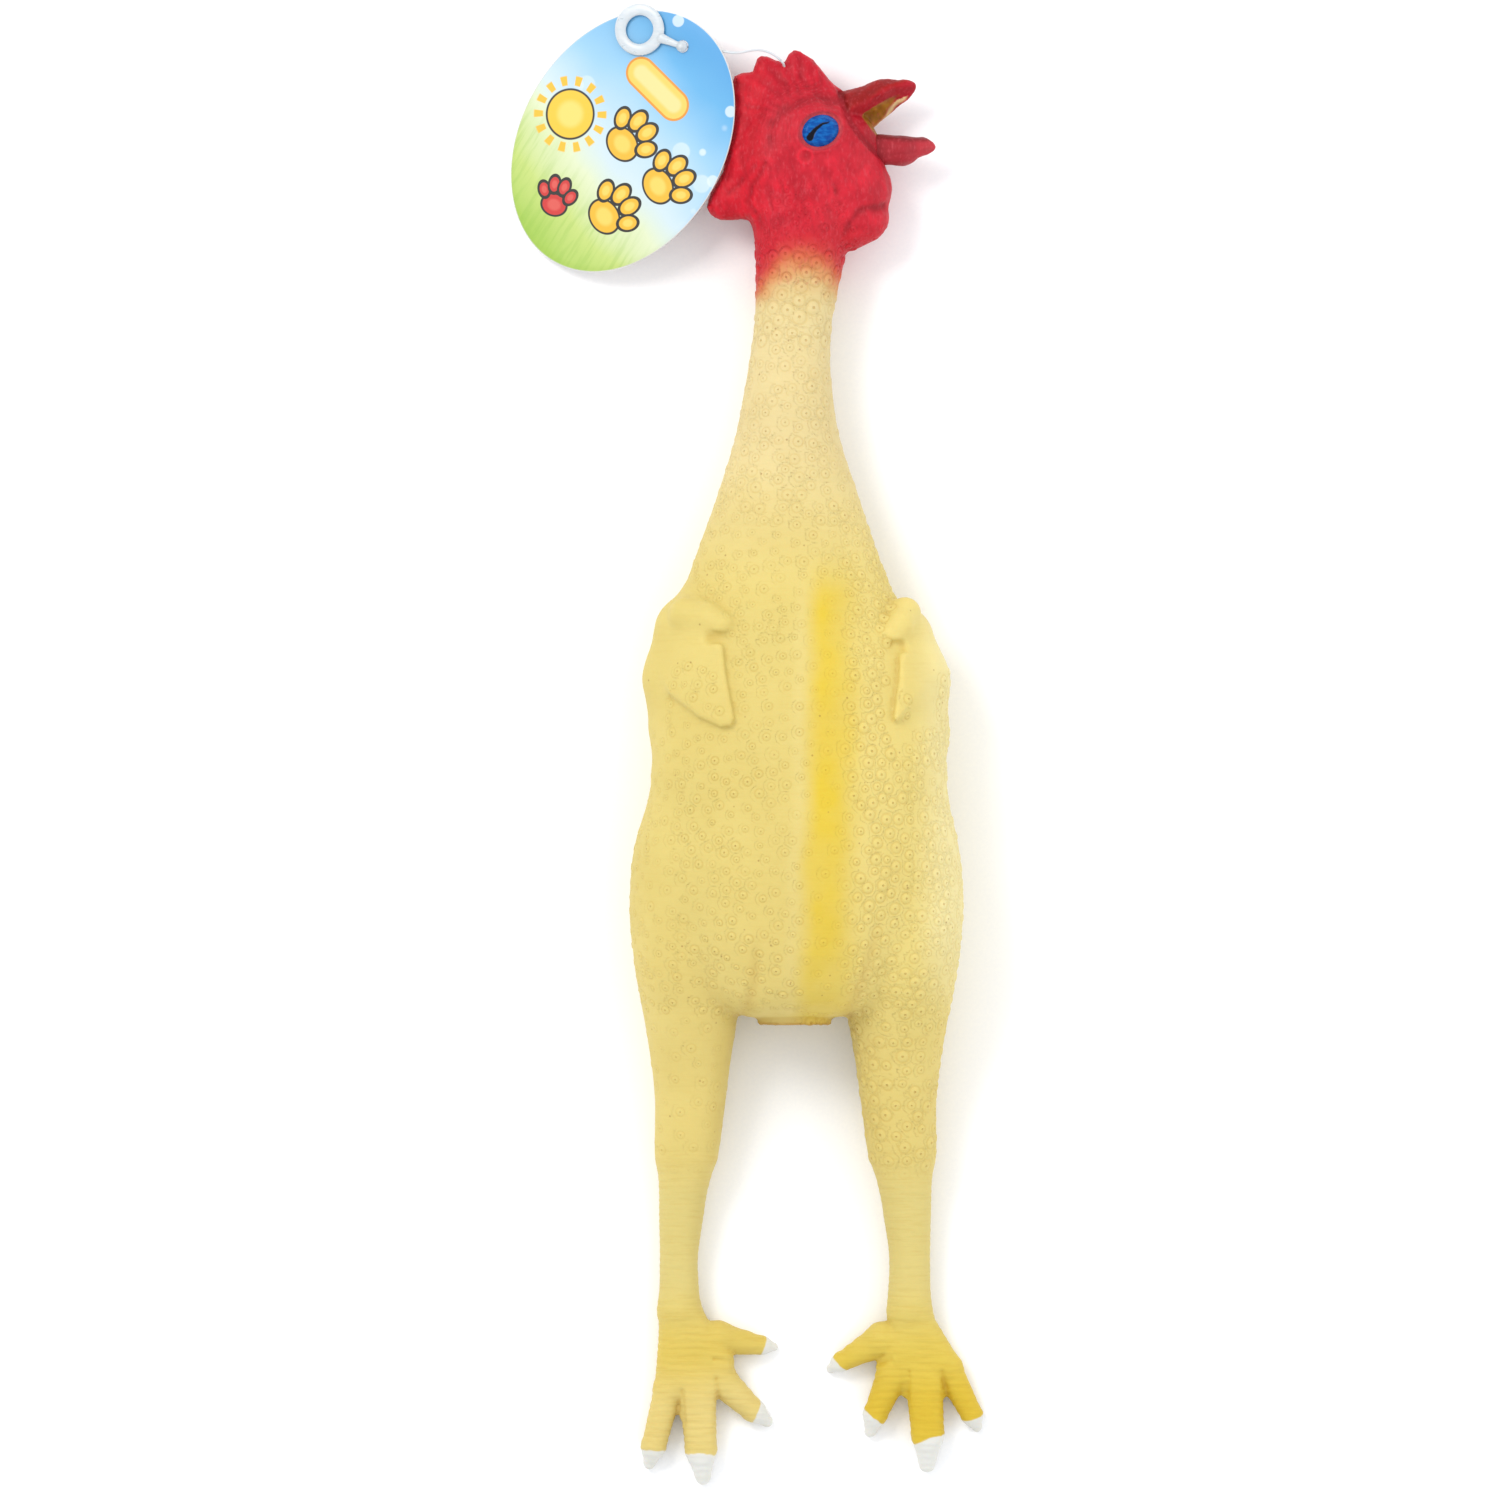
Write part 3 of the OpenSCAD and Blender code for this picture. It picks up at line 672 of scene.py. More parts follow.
def crease(p, pts, width):
    """1 on a drawn line, fading out to both sides."""
    return bell(line_distance(p[:, 0], p[:, 1], pts), width)


def head_relief(p, n):
    x, y, z = p.T
    facing = smooth(0.15, 0.5, np.abs(n[:, 2]))
    wobble = value_noise(p / 4.2, 3)
    u, v = eye_local(x, y)
    r = np.hypot(u * EYE_HALF[0], v * EYE_HALF[1] * 1.1)
    turn = np.degrees(np.arctan2(y - EYE[1], x - EYE[0]))
    upper = np.clip(1 - np.abs((turn - 132 + 180) % 360 - 180) / 96, 0, 1) ** 0.5
    # flow lines round the eye, then up the comb
    rings = np.sin(2 * np.pi * (r + 1.1 * wobble) / 1.35)
    e = 0.09 * (0.7 + 0.6 * wobble) * rings * upper * smooth(7.5, 10, r) * (1 - smooth(16, 23, r)) * facing
    comb = smooth(13, 18, r) * smooth(214, 222, y)
    e += 0.1 * comb * facing * np.sin(turn / 1.6 + 2.2 * wobble)
    for pts, width, deep in ((BEAK_CREASE, 0.9, 0.7), (WATTLE_CREASE, 1.1, 0.5), (BROW, 1.6, 0.36)):
        e -= deep * facing * crease(p, pts, width)
    for pts, deep in FOLDS:
        away = line_distance(x, y, pts)
        e += facing * deep * (0.5 * bell(away - 1.7, 0.9) - bell(away, 0.8))
    ear = np.hypot(x - 1.7, y - 205.1)
    e += facing * (0.32 * bell(ear - 2.3, 0.55) - 0.3 * bell(ear, 1.1))
    e += facing * 0.2 * bell(np.hypot((x - 1) / 0.8, (y - 201.3) / 1.2), 1.1)
    streaks = value_noise(np.column_stack([(x * 0.9 + y * 0.25) / 1.15, y / 5, z / 4]), 9)
    e += facing * 0.2 * streaks * (1 - comb) * smooth(207, 198, y) * smooth(178, 186, y)
    e += 0.12 * value_noise(p / 2.4, 5) + 0.09 * value_noise(p / [0.8, 1.6, 1.1], 6)
    return e * smooth(172, 180, y)


def toe_relief(p, n):
    return -sum(0.6 * smooth(0.1, 0.6, n[:, 2]) * crease(p, pts, 0.85) for pts in TOE_CREASES)


def groin_fade(y, pts, length):
    return smooth(pts[0][1] + 2, pts[0][1] - length, y)


def groin_relief(p, n):
    front = smooth(0.05, 0.4, n[:, 2])
    return -sum(0.6 * groin_fade(p[:, 1], pts, 9) * front * crease(p, pts, 1.8) for pts in GROIN)


def shank_relief(p, n):
    """Fine wrinkles across the shanks and along every toe's length."""
    y = p[:, 1]
    wavy = y + 0.7 * value_noise(p / 7, 11) + 0.35 * value_noise(p / 2.3, 12)
    e = (0.08 + 0.04 * smooth(-160, -176, y)) * np.sin(2 * np.pi * wavy / 2.35) * smooth(-112, -122, y)
    return e * (0.55 + 0.45 * value_noise(p / 5, 13))


def relief(p, n):
    y = p[:, 1]
    d = np.zeros(len(p))
    for part, where in (
        (head_relief, y > 172), (toe_relief, y < -158), (groin_relief, (y < -30) & (y > -76)),
        (shank_relief, y < -112),
    ):
        if where.any():
            d[where] += part(p[where], n[where])
    return d + 0.06 * value_noise(p / 5.5, 1) + 0.035 * value_noise(p / 2.1, 2)


def column(*values):
    return np.array(values)[:, None]


def pimple_rule(p):
    """Spacing, radius and height of the skin's pimples near each point."""
    x, y, z = p.T
    right = smooth(12, 19, x)
    rule = column(4.6, 1.2, 0.25) + column(-0.5, 0.35, 0.14) * right
    stripe = smooth(0, 4, x) * (1 - right) * (np.abs(y) < 70)
    rule[0] += 1.4 * stripe
    rule[2] *= 1 - 0.4 * stripe
    left = x < -1
    patch = value_noise(p / 26, 21)
    rule[2] = np.where(left, rule[2] * (1 + 0.5 * patch), rule[2])
    rule[0] = np.where(left & (patch < -0.35), rule[0] + 1.5, rule[0])
    on_thigh = smooth(-62, -74, y) > 0.5
    rule = np.where(on_thigh, np.where(x > 0, column(5.0, 1.7, 0.38), column(6.4, 1.3, 0.18)), rule)
    rule = fade(rule, column(4.5, 1.5, 0.26), smooth(80, 98, y))
    rule = rule + column(0.3, 0.45, 0.1) * smooth(138, 152, y)
    rule = fade(rule, column(3.4, 1.0, 0.2), smooth(173, 178, y))
    off = (y < -121) | (y > 200) | (z < 5) | ((x > 14) & (y > 183)) | ((x < -11) & (y > 178))
    off |= (np.abs(y - 45) < 24) & ((x < -27) | (x > 34)) & (patch < -0.05)
    near_wing = (y < 70) & (y > 16)
    for outline, *_ in WINGS.values():
        gap = np.abs(polygon(x[near_wing], y[near_wing], outline))
        off[near_wing] |= (gap < 3.6) & (np.abs(x[near_wing]) < 40)
    rule[2] = np.where(off, 0, rule[2]) * smooth(-124, -112, y) * smooth(200, 192, y)
    return rule


CELL = 8                # wider than the widest spacing
NO_PORE = [3.0, 0, 0]    # what is stored away from the pimples
base_co = co_of(whole)
spacing, radius, height = pimple_rule(base_co)
cells = {}
seeds = []


def crowded(i, cell):
    """Whether an earlier pimple is too near."""
    for step in itertools.product((-1, 0, 1), repeat=3):
        for j in cells.get(tuple(a + b for a, b in zip(cell, step)), ()):
            apart = sum((a - b) ** 2 for a, b in zip(base_co[j], base_co[i]))
            if apart < (0.45 * (spacing[i] + spacing[j])) ** 2:
                return True
    return False


for i in rng.permutation(len(base_co)):
    if height[i] < 0.03:
        continue
    cell = tuple(int(c // CELL) for c in base_co[i])
    if not crowded(i, cell):
        cells.setdefault(cell, []).append(i)
        seeds.append(i)
seeds = np.array(seeds)
size = rng.uniform(0.68, 1.16, len(seeds))
rise = height[seeds] * rng.uniform(0.7, 1.25, len(seeds))


def tree_of(places):
    tree = kdtree.KDTree(len(places))
    for i, q in enumerate(places):
        tree.insert(q, i)
    tree.balance()
    return tree


seed_tree = tree_of(base_co[seeds])
print("PIMPLES", len(seeds))


def pimples(p, n):
    """Height of each point on its nearest pimple, its place on it, and how strong that pimple is."""
    found = np.array([seed_tree.find(q)[1] for q in p.tolist()])
    off = p - base_co[seeds[found]]
    r = radius[seeds[found]] * size[found]
    flat = off - (off * n).sum(1)[:, None] * n
    t = np.linalg.norm(off, axis=1) / r
    bump = np.clip(1 - t * t, 0, 1) ** 1.5 - 0.28 * bell(t - 1.12, 0.2) - 0.45 * bell(t, 0.24)
    scaly = smooth(140, 155, p[:, 1]) * (1 - smooth(176, 182, p[:, 1]))
    bump = bump - scaly * smooth(-0.3, 0.5, flat[:, 1] / r) * 0.7 * bell(t - 0.98, 0.14)
    place = np.where(t[:, None] < 2.2, flat / r[:, None], NO_PORE)
    return rise[found] * bump, place, np.clip(rise[found] / 0.3, 0, 1.3)


# ---------------------------------------------------------------- colours

# the lamps overexpose a little, as on a white product table, so paint is darker than it looks
EXPOSURE = 1.27


def rgb(*c):
    c = np.array(c, float) / 255
    return np.where(c <= 0.04045, c / 12.92, ((c + 0.055) / 1.055) ** 2.4) / EXPOSURE


CREAM, STRIPE, RIGHT, EDGE = rgb(231, 210, 127), rgb(236, 206, 72), rgb(239, 218, 134), rgb(250, 235, 170)
RIDGE_HIGHLIGHT, VENT_SHADE, GROIN_SHADE = rgb(240, 222, 148), rgb(188, 142, 70), rgb(216, 178, 96)
NECK, THIGH, SHANK = rgb(238, 218, 160), rgb(237, 215, 132), rgb(231, 212, 134)
FOOT_L, FOOT_R, TOE_L, TOE_R = rgb(232, 205, 101), rgb(233, 206, 93), rgb(237, 214, 134), rgb(230, 197, 68)
NAIL = rgb(241, 241, 235)
RED, CHEEK, COMB_RED, CAPE_RED = rgb(209, 48, 62), rgb(215, 50, 64), rgb(196, 40, 54), rgb(205, 40, 53)
EAR_RED, LID = rgb(200, 34, 50), rgb(232, 112, 118)
BEAK_RED, BEAK_EDGE = rgb(152, 10, 24), rgb(190, 42, 56)
MOUTH, LIP = rgb(166, 112, 44), rgb(236, 206, 150)
NECK_TO_RED = [
    (160, (235, 212, 153)), (165.5, (232, 198, 140)), (169.5, (229, 165, 112)), (173, (224, 118, 84)),
    (177, (218, 72, 70)), (181, (212, 48, 60)),
]
# how much the edge of each nail's paint leans, and where the beak's edge is
PAINT_LEAN = {"left": (0.18, -0.35, 0.12, -0.2), "right": (-0.2, 0.5, -0.4, 0.15)}
BEAK_EDGE_Y = [204, 206.2, 210.2, 215.9, 221.6, 227.4, 232]
BEAK_EDGE_X = [27.6, 24.6, 20.6, 16.4, 14.2, 12.6, 11.6]


def mix(a, b, t):
    return fade(a, b, np.asarray(t)[:, None])


def nail_paint(p):
    """How far past the edge of the white paint each point is, along its toe."""
    best = np.full(len(p), -9.0)
    for side, leans in PAINT_LEAN.items():
        for lean, (_, nail, tip, _, r) in zip(leans, toe_points(side)):
            axis = (tip - nail) / np.linalg.norm(tip - nail)
            v = p - nail
            t = v @ axis
            cross = v[:, 0] * axis[1] - v[:, 1] * axis[0]
            near = (np.abs(cross) < r + 2.5) & (t > -6) & (t < 16)
            edge = t + lean * cross - 0.05 * cross**2 + 0.25 * value_noise(p / 1.3, 31) + 0.1
            best = np.where(near, np.maximum(best, edge), best)
    return best


def body_tint(p):
    x, y, z = p.T
    c = mix(CREAM, RIGHT, smooth(10, 20, x))
    c = mix(c, EDGE, smooth(34, 48, x) * smooth(-80, -40, y))
    c = mix(c, NECK, smooth(62, 122, y))
    c = mix(c, THIGH, smooth(-20, -70, y) * smooth(24, 8, x) + smooth(-60, -84, y) * smooth(8, 24, x))
    c = mix(c, SHANK, smooth(-116, -130, y))
    # the airbrushed stripe: sharp on its left, spread out on its right
    edge = np.interp(y, [-70, -40, 0, 60], [-2.2, 0.2, 1.6, 2.4]) + 0.9 * value_noise(p / [40, 11, 40], 49)
    past = x - edge
    width = 1 + 0.22 * value_noise(p / [14, 17, 14], 42)
    s = smooth(-2.6, 5.6, past) * (1 - smooth(7 * width, 22 * width, past)) * smooth(80, 58, y)
    s = s * np.interp(y, [-70, -50, 0, 40, 60], [0.62, 0.8, 0.95, 0.9, 0.92]) * smooth(20, 34, z)
    s = s * (0.9 + 0.24 * value_noise(p / [6, 20, 12], 43) + 0.14 * value_noise(p / 5, 48))
    c = mix(c, STRIPE, np.clip(s, 0, 1))
    # painted highlight on the keel's left slope, just left of the stripe
    c = mix(c, RIDGE_HIGHLIGHT, 0.3 * bell(past + 2.4, 2.2) * smooth(75, 60, y) * smooth(-66, -50, y))
    # painted shade along the vent's lower edge, between the legs
    vent = (0.3 * smooth(-69.4, -70.4, y) + 0.7 * smooth(-71.4, -72, y)) * (y > BELLY_BACK)
    c = mix(c, VENT_SHADE, 0.8 * vent * smooth(17, 13, np.abs(x - LEGS_X)))
    for pts in GROIN:
        c = mix(c, GROIN_SHADE, 0.26 * groin_fade(y, pts, 12) * (z > 25) * (y > -74) * crease(p, pts, 1.7))
    return c


def foot_tint(c, p):
    x, y = p[:, 0], p[:, 1]
    left = (x < LEGS_X)[:, None]
    on_foot = smooth(-152, -180, y)
    c = mix(c, np.where(left, FOOT_L, FOOT_R), on_foot)
    reach = np.zeros(len(p))
    for side, s in SIDES.items():
        m = (x - LEGS_X) * s > 0
        reach[m] = np.hypot(x[m] - ANKLE[side][0], y[m] - ANKLE[side][1] - 6)
    c = mix(c, np.where(left, TOE_L, TOE_R), on_foot * smooth(20, 44, reach) * smooth(-168, -190, y))
    return mix(c, NAIL, smooth(-0.25, 0.25, nail_paint(p)) * (y < -165))


def head_tint(c, p):
    x, y, z = p.T
    # the red's lower edge hangs in an arch across the neck
    arch = y + 8.5 * ((x - 1) / 13) ** 2 * smooth(186, 174, y) + 1.3 * value_noise(p / 3.2, 44)
    at, paints = zip(*NECK_TO_RED)
    ramp = np.column_stack([np.interp(arch, at, channel) for channel in zip(*(rgb(*f) for f in paints))])
    c = np.where((y > 152)[:, None], mix(c, ramp, smooth(155, 162, y)), c)
    red = mix(RED, CHEEK, smooth(200, 190, y) * smooth(4, 12, x))
    red = mix(red, EAR_RED, 0.6 * bell(x + 3, 7) * bell(y - 191, 9))
    red = mix(red, COMB_RED, smooth(217, 226, y) * smooth(14, 8, x))
    red = mix(red, CAPE_RED, smooth(-9, -14, x))
    red = red * (1 + 0.09 * value_noise(p / 3.0, 45) + 0.07 * value_noise(p / 8, 46))[:, None]
    c = mix(c, red, smooth(179, 184, y))
    beak = smooth(-0.3, 0.9, x - np.interp(y, BEAK_EDGE_Y, BEAK_EDGE_X)) * (y > 203) * (y < 233)
    under, hole = under_beak(p), mouth(p)
    tone = np.clip(smooth(2.2, -0.8, -under) + 0.7 * smooth(31, 36, x), 0, 1)
    c = mix(c, mix(BEAK_RED, BEAK_EDGE, tone * 0.8), beak)
    inside = smooth(0.65, 0.1, hole) * (y > 204) * beak
    c = mix(c, MOUTH * (1 + 0.35 * value_noise(p / 1.7, 47))[:, None], inside)
    rim = bell(under + 0.2, 0.8) * (z < HEAD_Z - 0.6) * beak * smooth(0.2, 1.0, hole) * smooth(2.6, 1.4, hole)
    c = mix(c, LIP, rim)
    lid = bell(np.hypot(*eye_local(x, y)) - 1.06, 0.12) * (np.abs(z - HEAD_Z) > 8)
    return mix(c, LID, 0.55 * lid)


def tint(p):
    c = head_tint(foot_tint(body_tint(p), p), p) * (1 + 0.02 * value_noise(p / 17, 41))[:, None]
    return np.clip(c - 0.012, 0.004, 1)


def store(mesh, p, colours, pore, pimple):
    """What the latex reads at each point, before it is moved."""
    write(mesh, "rest", "FLOAT_VECTOR", p)
    write(mesh, "tint", "FLOAT_COLOR", np.column_stack([colours, np.ones(len(p))]))
    write(mesh, "pore", "FLOAT_VECTOR", pore)
    write(mesh, "pimple", "FLOAT", pimple)


def depth(mesh, p, e):
    """How far each point lies below the mean of its neighbours."""
    return ((neighbour_mean(p, e) - p) * normals_of(mesh)).sum(1)


def sculpt(mesh):
    """Adds the relief and stores what the materials need."""
    p, n = co_of(mesh), normals_of(mesh)
    bump, pore, strength = pimples(p, n)
    move = relief(p, n)
    # painted shade in the head's wrinkles and painted highlight on its ridges, from the relief
    relief_shading = 1 + 0.75 * np.clip(move, -0.45, 0.35) * smooth(176, 184, p[:, 1])
    store(mesh, p, tint(p) * relief_shading[:, None], pore, strength)
    q = p + n * (move + bump)[:, None]
    q[:, 2] = np.maximum(q[:, 2], 0)
    set_co(mesh, q)
    e = edges_of(mesh)
    hollow = depth(mesh, q, e) / np.linalg.norm(q[e[:, 0]] - q[e[:, 1]], axis=1).mean()
    rim = np.zeros(len(q), bool)
    rim[e[np.bincount(read(mesh.loops, "edge_index"), minlength=len(e)) == 1].ravel()] = True
    hollow[rim] = 0
    hollow = neighbour_mean(np.column_stack([hollow, ~rim]), e)
    hollow = hollow[:, 0] / np.maximum(hollow[:, 1], 0.2)
    write(mesh, "hollow", "FLOAT", np.clip(hollow * 4, -1, 1))
    return rim


# ---------------------------------------------------------------- pieces of skin

def split(mesh):
    faces = read(mesh.loops, "vertex_index").reshape(-1, 4)
    which = read(mesh.polygons, "material_index")
    co = co_of(mesh)
    out = {}
    for i, name in enumerate(PIECES):
        used, back = np.unique(faces[which == i], return_inverse=True)
        out[name] = mesh_from(co[used], back.reshape(-1, 4), name)
    return out


FINE = {"head_skin", "belly"} | {f"{s}_{n}" for s in SIDES for n in ("foot_skin", "claws")}
meshes = split(whole)
rims = {}
for name, m in meshes.items():
    if name in FINE:
        m = meshes[name] = subdivided(m, subdivision_type="SIMPLE")
        settle(m, skin, relax=0, rounds=1)
    rims[name] = np.flatnonzero(sculpt(m))

# normals that agree across every cut
edge_p = np.concatenate([co_of(m)[rims[name]] for name, m in meshes.items()])
edge_n = np.concatenate([normals_of(m)[rims[name]] for name, m in meshes.items()])
owner = np.repeat(np.arange(len(meshes)), [len(rim) for rim in rims.values()])
edge_tree = tree_of(edge_p)
objects = {}
for k, (name, m) in enumerate(meshes.items()):
    p, n = co_of(m), normals_of(m)
    for i in rims[name]:
        near = np.array([j for _, j, _ in edge_tree.find_range(p[i], 0.55)])
        own = owner[near] == k
        if not own.all():
            v = edge_n[near[own]].mean(0) + edge_n[near[~own]].mean(0)
            n[i] = v / (np.linalg.norm(v) + 1e-9)
    set_co(m, p * MM)
    shade_smooth(m)
    m.normals_split_custom_set_from_vertices(n.tolist())
    objects[name] = add_object("latex_" + name.replace("_skin", ""), m)

# ---------------------------------------------------------------- materials

class Nodes:
    """Short names for a material's nodes."""

    def __init__(self, name):
        self.mat = bpy.data.materials.new(name)
        self.mat.use_nodes = True
        self.tree = self.mat.node_tree
        self.shader = self.tree.nodes["Principled BSDF"]

    def new(self, kind, inputs=None, **settings):
        n = self.tree.nodes.new("ShaderNode" + kind)
        for k, v in settings.items():
            setattr(n, k, v)
        for k, v in (inputs or {}).items():
            self.put(n.inputs[k], v)
        return n

    def put(self, socket, v):
        if isinstance(v, bpy.types.NodeSocket):
            self.tree.links.new(v, socket)
        else:
            socket.default_value = v

    def math(self, op, a, b=0.0):
        n = self.new("Math", operation=op)
        for s, v in zip(n.inputs, (a, b)):
            self.put(s, v)
        return n.outputs[0]

    def mul(self, a, *more):
        for b in more:
            a = self.math("MULTIPLY", a, b)
        return a

    def add(self, a, b):
        return self.math("ADD", a, b)

    def sub(self, a, b):
        return self.math("SUBTRACT", a, b)

    def step(self, a, b, v):
        n = self.new("MapRange", {"Value": v, "From Min": a, "From Max": b}, interpolation_type="SMOOTHSTEP")
        return n.outputs[0]

    def spread(self, v, low, high):
        return self.new("MapRange", {"Value": v, "To Min": low, "To Max": high}).outputs[0]

    def mix(self, t, a, b, how="MIX"):
        n = self.new("Mix", data_type="RGBA", blend_type=how)
        for i, v in ((0, t), (6, a), (7, b)):
            self.put(n.inputs[i], v)
        return n.outputs[2]

    def shade(self, c, t, by):
        """The colour c, multiplied by another as far as t says."""
        return self.mix(t, c, self.mix(1.0, c, (*by, 1), "MULTIPLY"))

    def noise(self, at, scale, detail=3.0, rough=0.55):
        n = self.new("TexNoise", {"Vector": at, "Scale": scale, "Detail": detail, "Roughness": rough})
        return n.outputs[0]

    def spots(self, at, scale, randomness):
        inputs = {"Vector": at, "Scale": scale, "Randomness": randomness}
        return self.new("TexVoronoi", inputs, feature="F1").outputs

    def stretch(self, at, scale, turn=0.0, move=(0, 0, 0)):
        n = self.new("Mapping", {"Vector": at, "Location": move, "Rotation": (0, 0, turn), "Scale": scale})
        return n.outputs[0]

    def attribute(self, name, out="Vector"):
        return self.new("Attribute", attribute_name=name).outputs[out]

    def length(self, v):
        return self.new("VectorMath", {0: v}, operation="LENGTH").outputs["Value"]

    def bump(self, height, distance, strength=0.6):
        return self.new("Bump", {"Height": height, "Distance": distance, "Strength": strength}).outputs[0]

    def finish(self, **sockets):
        for k, v in sockets.items():
            self.put(self.shader.inputs[k.replace("_", " ")], v)
        return self.mat


def colour(r, g, b):
    return (*rgb(r, g, b), 1.0)


def latex(
    name, rough=0.52, gloss=0.2, speck=0.0, fleck=0.0, grain=1.0, cross=0.0, hollow_shade=(0.80, 0.66, 0.42),
):
    m = Nodes(name)
    at = m.attribute("rest")
    tint = m.attribute("tint", "Color")
    hollow = m.attribute("hollow", "Fac")
    strength = m.math("MINIMUM", m.attribute("pimple", "Fac"), 1.0)
    t = m.length(m.attribute("pore"))
    # blotches where the dip ran thicker or thinner
    fine = m.noise(at, 0.55)
    dust = m.noise(at, 2.4, 2.0)
    c = m.shade(tint, m.step(0.65, 0.35, m.noise(at, 0.045, 4.0)), (0.975, 0.965, 0.93))
    c = m.shade(c, m.mul(m.step(0.42, 0.7, fine), 0.35), (1.04, 1.03, 1.03))
    # painted highlight on the high places, and painted shade in the hollows
    c = m.shade(c, m.mul(m.step(0.08, 0.7, m.mul(hollow, -1.0)), 0.28), (1.12, 1.12, 1.14))
    c = m.shade(c, m.mul(m.step(0.05, 0.8, hollow), 0.45), hollow_shade)
    # each pimple has a pore in its middle and a ring round its foot, both darkened as painted shade
    pore = m.mul(m.step(0.27, 0.1, t), strength)
    ring = m.mul(m.step(0.8, 1.05, t), m.step(1.4, 1.1, t), strength)
    c = m.shade(c, m.mul(pore, 0.62), (0.74, 0.56, 0.34))
    c = m.shade(c, m.mul(ring, 0.4), (0.85, 0.75, 0.56))
    if fleck:
        flow = m.stretch(at, (1.0, 0.42, 1.0), 0.4)
        c = m.mix(m.mul(m.step(0.5, 0.74, m.noise(flow, 1.2)), fleck), c, colour(228, 90, 102))
        c = m.mix(m.mul(m.step(0.46, 0.28, m.noise(flow, 0.9)), fleck), c, colour(160, 16, 32))
    if speck:
        specks = m.step(0.075, 0.03, m.spots(at, 0.16, 1.0)["Distance"])
        c = m.mix(m.mul(specks, speck), c, colour(150, 96, 50))
    # fine cross lines, with painted shade in their valleys
    lines = m.noise(m.stretch(at, (0.12, 1.5, 0.12)), 0.8, 4.0, 0.6)
    c = m.shade(c, m.mul(m.step(0.52, 0.34, lines), 0.26 * min(cross, 1)), (0.86, 0.76, 0.55))
    h = m.add(m.add(m.mul(fine, 0.6), m.mul(dust, 0.35)), m.mul(lines, cross))
    h = m.sub(m.sub(h, m.mul(pore, 1.6)), m.mul(ring, 0.4))
    return m.finish(
        Base_Color=c, Roughness=m.spread(dust, rough - 0.07, rough + 0.1), Specular_IOR_Level=gloss,
        Normal=m.bump(h, 0.00022 * grain, 0.75), Subsurface_Weight=0.06,
        Subsurface_Radius=(0.004, 0.002, 0.0008), Subsurface_Scale=1.0,
    )


body_latex = latex("latex_body", 0.55, speck=0.5, cross=0.4)
leg_latex = latex("latex_leg", 0.55, cross=0.9)
head_latex = latex("latex_head", 0.5, fleck=0.28, cross=0.3, grain=1.2, hollow_shade=(0.62, 0.42, 0.42))
foot_latex = latex("latex_foot", cross=1.1, hollow_shade=(0.84, 0.66, 0.36))
claw_latex = latex("latex_claw", 0.5, cross=0.4, hollow_shade=(0.82, 0.8, 0.72))

BLENDS = {
    "neck_base_fold": ("torso", "neck_lower", *NECK_CUTS[0:2]),
    "neck_mid_fold": ("neck_lower", "neck_upper", *NECK_CUTS[2:4]),
    "neck_top_fold": ("neck_upper", "head", *NECK_CUTS[4:6]),
}
for s in SIDES:
    BLENDS[f"{s}_hip_fold"] = ("torso", f"{s}_thigh", *LEG_CUTS[0:2])
    BLENDS[f"{s}_hock_fold"] = (f"{s}_thigh", f"{s}_shank", *LEG_CUTS[2:4])
    BLENDS[f"{s}_ankle_fold"] = (f"{s}_shank", f"{s}_foot", *LEG_CUTS[4:6])
# a slot name and a latex for each piece, by a word in the node's name; the other pieces get the body's latex
LOOKS = {
    "head": ("red_latex", head_latex), "foot": ("foot_latex", foot_latex),
    "claws": ("claw_paint", claw_latex),
    "hock": ("body_latex", leg_latex), "shank": ("body_latex", leg_latex), "ankle": ("body_latex", leg_latex),
}
for name, o in objects.items():
    slot, look = next((v for word, v in LOOKS.items() if word in name), ("body_latex", body_latex))
    o.data.materials.append(look)
    if name == "belly":
        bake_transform(o)
        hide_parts("belly_panel", "belly_fold")
    elif name in BLENDS:
        a, b, y0, y1 = BLENDS[name]
        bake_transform(o)
        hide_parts(name)
    else:
        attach(o, name.replace("_skin", "").replace("_claws", "_foot"))
        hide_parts(name)

# ---------------------------------------------------------------- lower beak

JAW_CONES = [
    ((32.8, 207.5), (39.2, 208.7), 4.7, 2.8, 0.9, 2), ((39.2, 208.7), (41.8, 208.5), 2.8, 1.6, 0.9, 1.5),
]


def jaw(p):
    h = (HEAD_Z,)
    d = melt(cone(p, (BEAK[0] - 0.4, BEAK[1]) + h, (32.8, 207.5) + h, 5.7, 4.7, 0.9), p, JAW_CONES, h)
    d = cut(d, (p[:, 1] - 212.8) + (p[:, 0] - 29) * 0.05 + (p[:, 2] - HEAD_Z) * 0.3, 1.2)
    trough = cone(p, (22, 214.4, HEAD_Z - 1), (36, 213.4, HEAD_Z - 1), 2.2, 1.1)
    return cut(d, -trough, 1.2)


points, quads = surface(jaw, (16, 198, 6), (46, 219, 26), 0.8)
m = subdivided(mesh_from(points, quads, "lower_beak"), boundary_smooth="ALL")
settle(m, jaw)
p, n = co_of(m), normals_of(m)
x, y, z = p.T
c = mix(rgb(172, 32, 46), rgb(196, 52, 64), smooth(33, 43, x))
# painted shadow at the root, where the lower beak meets the head
c = mix(c, rgb(132, 14, 26), smooth(29, 24, x) * 0.8)
